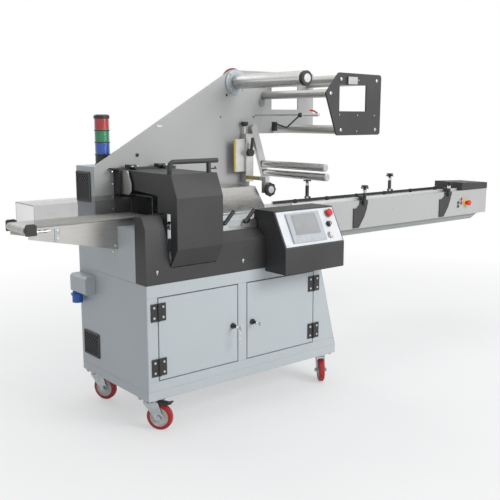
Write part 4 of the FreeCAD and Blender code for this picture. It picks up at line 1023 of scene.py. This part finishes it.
class WRAPPER_OT_forming(bpy.types.Operator):
    """Finish the film forming unit: slide, rulers, hand wheel, knobs, forming box and sealing levers"""
    bl_idname = "wrapper.forming"
    bl_label = "Film forming"

    def execute(self, context):
        sizes = context.scene.wrapper_machine
        paint(finished("forming_slide", sizes.edge), material(brushed, "z", (0.60, 0.60, 0.59), 0.34))
        paint(finished("forming_box", 0.3 * MM), material(brushed, "x", (0.56, 0.55, 0.53), 0.26))
        paint(finished("fin_seal_unit", sizes.edge), material(brushed, "x", (0.58, 0.58, 0.57), 0.30))
        self.rulers()
        self.hand_wheel()
        self.grips()
        return {"FINISHED"}

    def rulers(self):
        """A standing rule on its own plate, and a lying one on the cross arm."""
        low = corners("forming_slide")[0]
        x, y = low[0] - 75 * MM, low[1] + 168 * MM
        bottom, height = 1.147, 0.176
        plate_size = (75 * MM, 3 * MM, height)
        middle = bottom + height / 2
        plate = blocks("ruler_plate", [(low[0] - 37 * MM, y + 4 * MM, middle)], plate_size, "frame",
                       0.6 * MM)
        paint(plate, material(brushed, "z", (0.60, 0.60, 0.59), 0.34))
        standing = blocks("standing_ruler", [(x + 6 * MM, y, middle)], (12 * MM, 2 * MM, height),
                          "frame", 0.4 * MM)
        paint(standing, scale_finish("z", bottom).material)
        arm = (low[0] + 7.2 * MM, low[1] + 116 * MM, 1.115)
        lying = blocks("lying_ruler", [arm], (1.6 * MM, 108 * MM, 14 * MM), "frame", 0.4 * MM)
        paint(lying, scale_finish("y", arm[1] - 54 * MM).material)

    def hand_wheel(self):
        """A lobed rim round the wheel's hub, and a white centre."""
        centre = at("knobs_and_grips", (0, 0, 0), (419, 141, 139))
        cap = [(-0.4 * MM, 0), (-0.4 * MM, 19 * MM), (1.6 * MM, 19 * MM), (2.4 * MM, 17 * MM), (2.4 * MM, 0)]
        paint(lathes("hand_wheel_cap", cap, [centre], FRONT, "frame", 36), material(white_plastic))
        turn = np.arange(8) * np.pi / 4
        lobe = [(0, 0), (0, 4.5 * MM), (2 * MM, 6 * MM), (13 * MM, 6 * MM), (15 * MM, 4.5 * MM), (15 * MM, 0)]
        places = centre + np.stack([32 * MM * np.cos(turn), np.full(8, 17 * MM), 32 * MM * np.sin(turn)], 1)
        paint(lathes("hand_wheel_lobes", lobe, places, FRONT, "frame", 12),
              material(black_plastic))

    def grips(self):
        """Ridged black grips over the two sealing levers."""
        for number, along in enumerate((6, 136)):
            start = at("knobs_and_grips", (0, 0, 0), (along, 9, 6))
            lean = unit((1, 0, 1))
            run = np.linspace(0, 1, 40)
            profile = np.stack([run * 84 * MM, 9.4 * MM + 1.0 * MM * np.abs(np.sin(run * 14 * np.pi))], 1)
            profile = np.concatenate([[(0, 0)], profile, [(85 * MM, 6 * MM), (85 * MM, 0)]])
            paint(lathes(f"lever_grip_{number + 1}", profile, [start - lean * 6 * MM], lean, "frame",
                         20), material(black_plastic))


class WRAPPER_OT_operator_panel(bpy.types.Operator):
    """Finish the operator panel: screen with its bezel and keys, collars, knobs and corner screws"""
    bl_idname = "wrapper.operator_panel"
    bl_label = "Operator panel"

    def execute(self, context):
        sizes = context.scene.wrapper_machine
        paint(finished("control_box", sizes.fold), material(black_coat))
        paint(finished("control_panel", 0.4 * MM), material(pale_sheet))
        self.face()
        return {"FINISHED"}

    def face(self):
        """Everything here lies on the sloping sheet: across, up the slope and out of it."""
        low, high = corners("control_panel")
        rise, run = high[2] - low[2], high[1] - low[1]
        slope = unit((0, run, rise))
        out = np.cross((1, 0, 0), slope)
        thickness = 2 * MM
        base = low + out * thickness
        width, length = high[0] - low[0], math.hypot(rise, run)

        def spot(across, along, height=0.0):
            """A place on the sheet in millimetres from its lower left corner."""
            return base + np.array((across, 0, 0)) * MM + slope * along * MM + out * height * MM

        inset = 9
        corner_places = [spot(a, b) for a in (inset, width / MM - inset)
                         for b in (inset, length / MM - inset)]
        screws("panel_screws", corner_places, out, "frame", 4 * MM)
        paint(finished("touch_screen", 1.5 * MM, 3), material(screen_bezel))
        screen_low, screen_high = corners("touch_screen")
        left = (screen_low[0] - low[0]) / MM
        wide = (screen_high[0] - screen_low[0]) / MM
        middle = left + wide / 2
        for name, wide, tall, radius, height, depth, bevel, finish in (
                ("screen_rim", 166, 108, 3, 7.4, 2.0, 0.6, grey_plastic),
                ("screen_display", 152, 94, 2, 8.4, 1.6, 0.3, display_finish)):
            paint(prism(name, rounded(wide * MM, tall * MM, radius * MM), spot(middle, 108, height), RIGHT,
                        slope, depth * MM, "frame", bevel * MM), material(finish))
        keys = [spot(middle + x, 33, 7.8) for x in (-78, -60, -46, -22, -4, 14, 32, 54, 70)]
        for number, place in enumerate(keys):
            paint(prism(f"screen_key_{number + 1}", rounded(11 * MM, 9 * MM, 2 * MM), place, RIGHT, slope,
                        1.4 * MM, "frame", 0.3 * MM), material(key_plastic))
        collars = (("stop_collar", 351, 159, 22, 13.5, grey_plastic),
                   ("selector_ring", 329, 102, 17.5, 15.2, bright_steel),
                   ("push_ring", 321, 45, 17.5, 15.2, grey_plastic))
        for name, across, along, radius, inner, finish in collars:
            profile = [(-0.4 * MM, inner * MM), (-0.4 * MM, radius * MM), (2.6 * MM, radius * MM),
                       (3.4 * MM, (radius - 1) * MM), (3.4 * MM, inner * MM)]
            place = spot(across - PANEL_INSET, along - PANEL_INSET)
            paint(lathes(name, profile, [place], out, "frame", 36), material(finish))
        buttons = finished("panel_buttons", 0.4 * MM)
        split = base[2] + 40 * MM
        paint(buttons, material(black_plastic))
        paint_faces(buttons, material(white_plastic), lambda x, y, z: (y < -0.25) & (z < split))
        pointer = spot(329 - PANEL_INSET, 102 - PANEL_INSET, 18.2)
        paint(prism("selector_pointer", rounded(3 * MM, 17 * MM, 1 * MM), pointer, RIGHT, slope, 1 * MM,
                    "frame"), material(white_plastic))


class WRAPPER_OT_infeed(bpy.types.Operator):
    """Finish the infeed table: panels, deck, guide rails, posts, end cover, screws and buttons"""
    bl_idname = "wrapper.infeed"
    bl_label = "Infeed table"

    def execute(self, context):
        sizes = context.scene.wrapper_machine
        paint(finished("table_panels", sizes.edge), material(grey_coat, "stand_coat", "stand"))
        paint(finished("table_channel", sizes.fold), material(grey_coat, "channel_coat", "channel"))
        paint(finished("table_deck", 0.4 * MM), material(brushed, "x", (0.50, 0.505, 0.51), 0.38))
        paint(finished("table_end_cover", sizes.fold), material(black_coat))
        paint(finished("support_brackets", sizes.edge), material(black_coat))
        self.guides()
        self.screws()
        self.buttons()
        return {"FINISHED"}

    def guides(self):
        """The rails are brushed steel; the posts are black, each with a plated stud under its knob."""
        top = corners("table_panels")[1][2]
        rail = top + 16 * MM
        obj = paint(finished("side_guides", 0.5 * MM), material(black_plastic))
        front, rear = corners("table_panels")[0][1] + 24 * MM, corners("table_panels")[1][1] - 36 * MM
        width = 12.5 * MM
        slack = 0.5 * MM

        def on_rail(x, y, z):
            """True for the faces of the two rails, which lie below the posts' clamps."""
            near = (y > front - slack) & (y < front + width)
            far = (y > rear - slack) & (y < rear + width)
            return (near | far) & (z < rail + slack)

        paint_faces(obj, material(brushed, "x", (0.66, 0.665, 0.67), 0.42), on_rail)
        studs = ((1667, -1, 91), (2494, -1, 70), (1401, 1, 135), (2148, 1, 128))
        start = corners("table_panels")[0][0] - 1071 * MM
        places = []
        for x, side, height in studs:
            y = front - 34 * MM if side < 0 else rear + 22 * MM
            places.append((start + x * MM, y, top + (height - 45) * MM))
        ridges = [(k * 1.25 * MM, (11.4 + (k % 2) * 0.7) * MM) for k in range(15)]
        thread = [(0, 0)] + ridges + [(18.8 * MM, 0)]
        paint(lathes("post_studs", thread, places, UP, "frame", 18), material(bright_steel))
        grips = [np.array(place) + np.array((0, 0, 31.5 * MM)) for place in places]
        turn = np.arange(6) * np.pi / 3
        around = np.stack([19 * MM * np.cos(turn), 19 * MM * np.sin(turn), np.zeros(6)], 1)
        lobes = (np.array(grips)[:, None] + around[None]).reshape(-1, 3) + np.array((0, 0, 4.5 * MM))
        lobe = [(0, 0), (0, 4 * MM), (1 * MM, 5 * MM), (7 * MM, 5 * MM), (8 * MM, 4 * MM), (8 * MM, 0)]
        lobes = lobes - np.array((0, 0, 11 * MM))
        paint(lathes("post_knob_lobes", lobe, lobes, UP, "frame", 10),
              material(black_plastic))

    def screws(self):
        """Small dark screws along the front and rear panels."""
        low, high = corners("table_panels")
        for side, y, normal in (("front", low[1], FRONT), ("rear", high[1], REAR)):
            places = [(low[0] + x * MM, y, high[2] - 72 * MM) for x in (150, 407, 870, 1199, 1659)]
            paint(screws(f"{side}_panel_screws", places, normal, "frame", 3.2 * MM), material(zinc))

    def buttons(self):
        """The stop button's yellow collar and the two pairs of push buttons beside it."""
        high = corners("stop_buttons")[1]
        face = corners("table_panels")[0][1]
        stop = (high[0] - 19 * MM, face, 0.864)
        collar = [(-0.4 * MM, 0), (-0.4 * MM, 24 * MM), (4 * MM, 24 * MM), (6 * MM, 21 * MM),
                  (6 * MM, 14 * MM), (6 * MM, 0)]
        paint(lathes("table_stop_collar", collar, [stop], FRONT, "frame", 36),
              material(yellow_plastic))
        rim = [(-0.4 * MM, 11 * MM), (-0.4 * MM, 13.5 * MM), (3 * MM, 13.5 * MM), (3.6 * MM, 12.8 * MM),
               (3.6 * MM, 11 * MM)]
        spots = ((2650, 892), (2650, 864), (2615, 870), (2615, 844))
        start = corners("table_panels")[0][0] - 1071 * MM
        places = [(start + x * MM, face, z * MM) for x, z in spots]
        paint(lathes("table_button_rims", rim, places, FRONT, "frame", 24), material(bright_steel))
        cap = [(0, 0), (0, 9.4 * MM), (1.6 * MM, 9.0 * MM), (2.2 * MM, 7.5 * MM), (2.4 * MM, 0)]
        for number, finish in enumerate((red_plastic, red_plastic, black_plastic, black_plastic)):
            spot = np.array(places[number]) - np.array((0, 5 * MM, 0))
            button = lathes(f"table_button_{number + 1}", cap, [spot], FRONT, "frame", 24)
            paint(button, material(finish))


class WRAPPER_OT_tower(bpy.types.Operator):
    """Finish the signal tower's three lenses and its rings"""
    bl_idname = "wrapper.tower"
    bl_label = "Signal tower"

    def execute(self, context):
        low = corners("signal_lamps")[0]
        pitch = 59 * MM
        lamps = finished("signal_lamps", 0.0)
        paint(lamps, lamp_lens(low[2], pitch).material)
        paint(finished("signal_tower", 0.6 * MM), material(black_plastic))
        return {"FINISHED"}


class WRAPPER_OT_stage(bpy.types.Operator):
    """Set the floor, the lamps and the camera"""
    bl_idname = "wrapper.stage"
    bl_label = "Stage"

    def execute(self, context):
        sizes = context.scene.wrapper_stage
        scene = context.scene
        scene.view_settings.view_transform = "Standard"
        self.floor()
        self.surroundings(scene, sizes.world)
        self.lamp("key", (1.6, -5.6, 3.6), (0.0, 0.0, 0.8), 3.2, sizes.key)
        self.lamp("top", (0.2, 0.4, 5.2), (0.0, 0.0, 0.8), 4.0, sizes.fill)
        self.lamp("rear", (-1.0, 5.6, 3.6), (0.0, 0.0, 0.8), 3.2, sizes.fill)
        self.camera(scene, sizes.lens)
        return {"FINISHED"}

    def floor(self):
        half = 30.0
        mesh = bpy.data.meshes.new("floor")
        mesh.from_pydata([(-half, -half, 0), (half, -half, 0), (half, half, 0), (-half, half, 0)], [],
                         [(0, 1, 2, 3)])
        obj = bpy.data.objects.new("floor", mesh)
        bpy.context.scene.collection.objects.link(obj)
        shader = Shader("floor_finish")
        cloud = shader.noise(1.5, 2.0)
        shade = shader.mix(shader.range(cloud, 0.3, 0.7), (0.80, 0.80, 0.80), (0.83, 0.83, 0.83))
        shader.set(Base_Color=shade, Roughness=0.6)
        path = shader.node("ShaderNodeLightPath", {})
        seen = path[0].calc("MAXIMUM", path[3])
        away = shader.distance((0.0, 0.0, 0.0))
        white = shader.node("ShaderNodeEmission", {}, (1, 1, 1, 1), 1.0)[0]
        body = Value(shader, shader.surface.outputs[0])
        share = seen * shader.range(away, 1.2, 4.0, 0.45, 1.0)
        mixed = shader.node("ShaderNodeMixShader", {}, share, body, white)[0]
        output = next(n for n in shader.tree.nodes if n.type == "OUTPUT_MATERIAL")
        shader.tree.links.new(mixed.socket, output.inputs["Surface"])
        paint(obj, shader.material)

    def surroundings(self, scene, strength):
        world = bpy.data.worlds.new("surroundings")
        scene.world = world
        world.use_nodes = True
        nodes, links = world.node_tree.nodes, world.node_tree.links
        nodes.clear()
        path = nodes.new("ShaderNodeLightPath")
        seen = nodes.new("ShaderNodeMath")
        seen.operation = "MAXIMUM"
        links.new(path.outputs["Is Camera Ray"], seen.inputs[0])
        links.new(path.outputs["Is Transmission Ray"], seen.inputs[1])
        glossy = nodes.new("ShaderNodeMath")
        glossy.operation = "MAXIMUM"
        links.new(seen.outputs[0], glossy.inputs[0])
        links.new(path.outputs["Is Glossy Ray"], glossy.inputs[1])
        plain, bright = nodes.new("ShaderNodeBackground"), nodes.new("ShaderNodeBackground")
        plain.inputs["Strength"].default_value = strength
        plain.inputs["Color"].default_value = (0.93, 0.96, 1.0, 1)
        bright.inputs["Strength"].default_value = 1.0
        bright.inputs["Color"].default_value = (1, 1, 1, 1)
        mixed = nodes.new("ShaderNodeMixShader")
        links.new(glossy.outputs[0], mixed.inputs[0])
        links.new(plain.outputs[0], mixed.inputs[1])
        links.new(bright.outputs[0], mixed.inputs[2])
        links.new(mixed.outputs[0], nodes.new("ShaderNodeOutputWorld").inputs[0])

    def lamp(self, name, place, target, width, power):
        light = bpy.data.lights.new(name, "AREA")
        light.shape = "SQUARE"
        light.size = width
        light.energy = power
        obj = bpy.data.objects.new(name, light)
        bpy.context.scene.collection.objects.link(obj)
        obj.location = place
        obj.rotation_mode = "QUATERNION"
        obj.rotation_quaternion = (Vector(target) - Vector(place)).to_track_quat("-Z", "Y")

    def camera(self, scene, lens):
        data = bpy.data.cameras.new("camera")
        data.lens = lens
        data.sensor_width = 36.0
        data.clip_end = 100.0
        obj = bpy.data.objects.new("camera", data)
        scene.collection.objects.link(obj)
        obj.location = (-2.9625, -3.065, 1.434)
        obj.rotation_euler = (math.radians(90 - 9.9), 0.0, math.radians(-39.3))
        scene.camera = obj


class WRAPPER_PT_machine(bpy.types.Panel):
    """Lists the steps that dress the machine"""
    bl_label = "Flow Wrapper"
    bl_space_type = "VIEW_3D"
    bl_region_type = "UI"
    bl_category = "Flow Wrapper"

    def draw(self, context):
        for step in STEPS:
            self.layout.operator(step.bl_idname)


STEPS = (WRAPPER_OT_finishes, WRAPPER_OT_cabinet, WRAPPER_OT_castors, WRAPPER_OT_jaw_section,
         WRAPPER_OT_outfeed, WRAPPER_OT_film_stand, WRAPPER_OT_forming, WRAPPER_OT_operator_panel,
         WRAPPER_OT_infeed, WRAPPER_OT_tower, WRAPPER_OT_stage)
GROUPS = {"wrapper_machine": MachineSettings, "wrapper_stage": StageSettings}


def register():
    for group in GROUPS.values():
        bpy.utils.register_class(group)
    for name, group in GROUPS.items():
        setattr(bpy.types.Scene, name, PointerProperty(type=group))
    for kind in (*STEPS, WRAPPER_PT_machine):
        bpy.utils.register_class(kind)


def unregister():
    for kind in (*STEPS, WRAPPER_PT_machine):
        bpy.utils.unregister_class(kind)
    for name, group in GROUPS.items():
        delattr(bpy.types.Scene, name)
        bpy.utils.unregister_class(group)


def main():
    register()
    for step in STEPS:
        area, name = step.bl_idname.split(".")
        getattr(getattr(bpy.ops, area), name)()


if __name__ == "__main__":
    main()
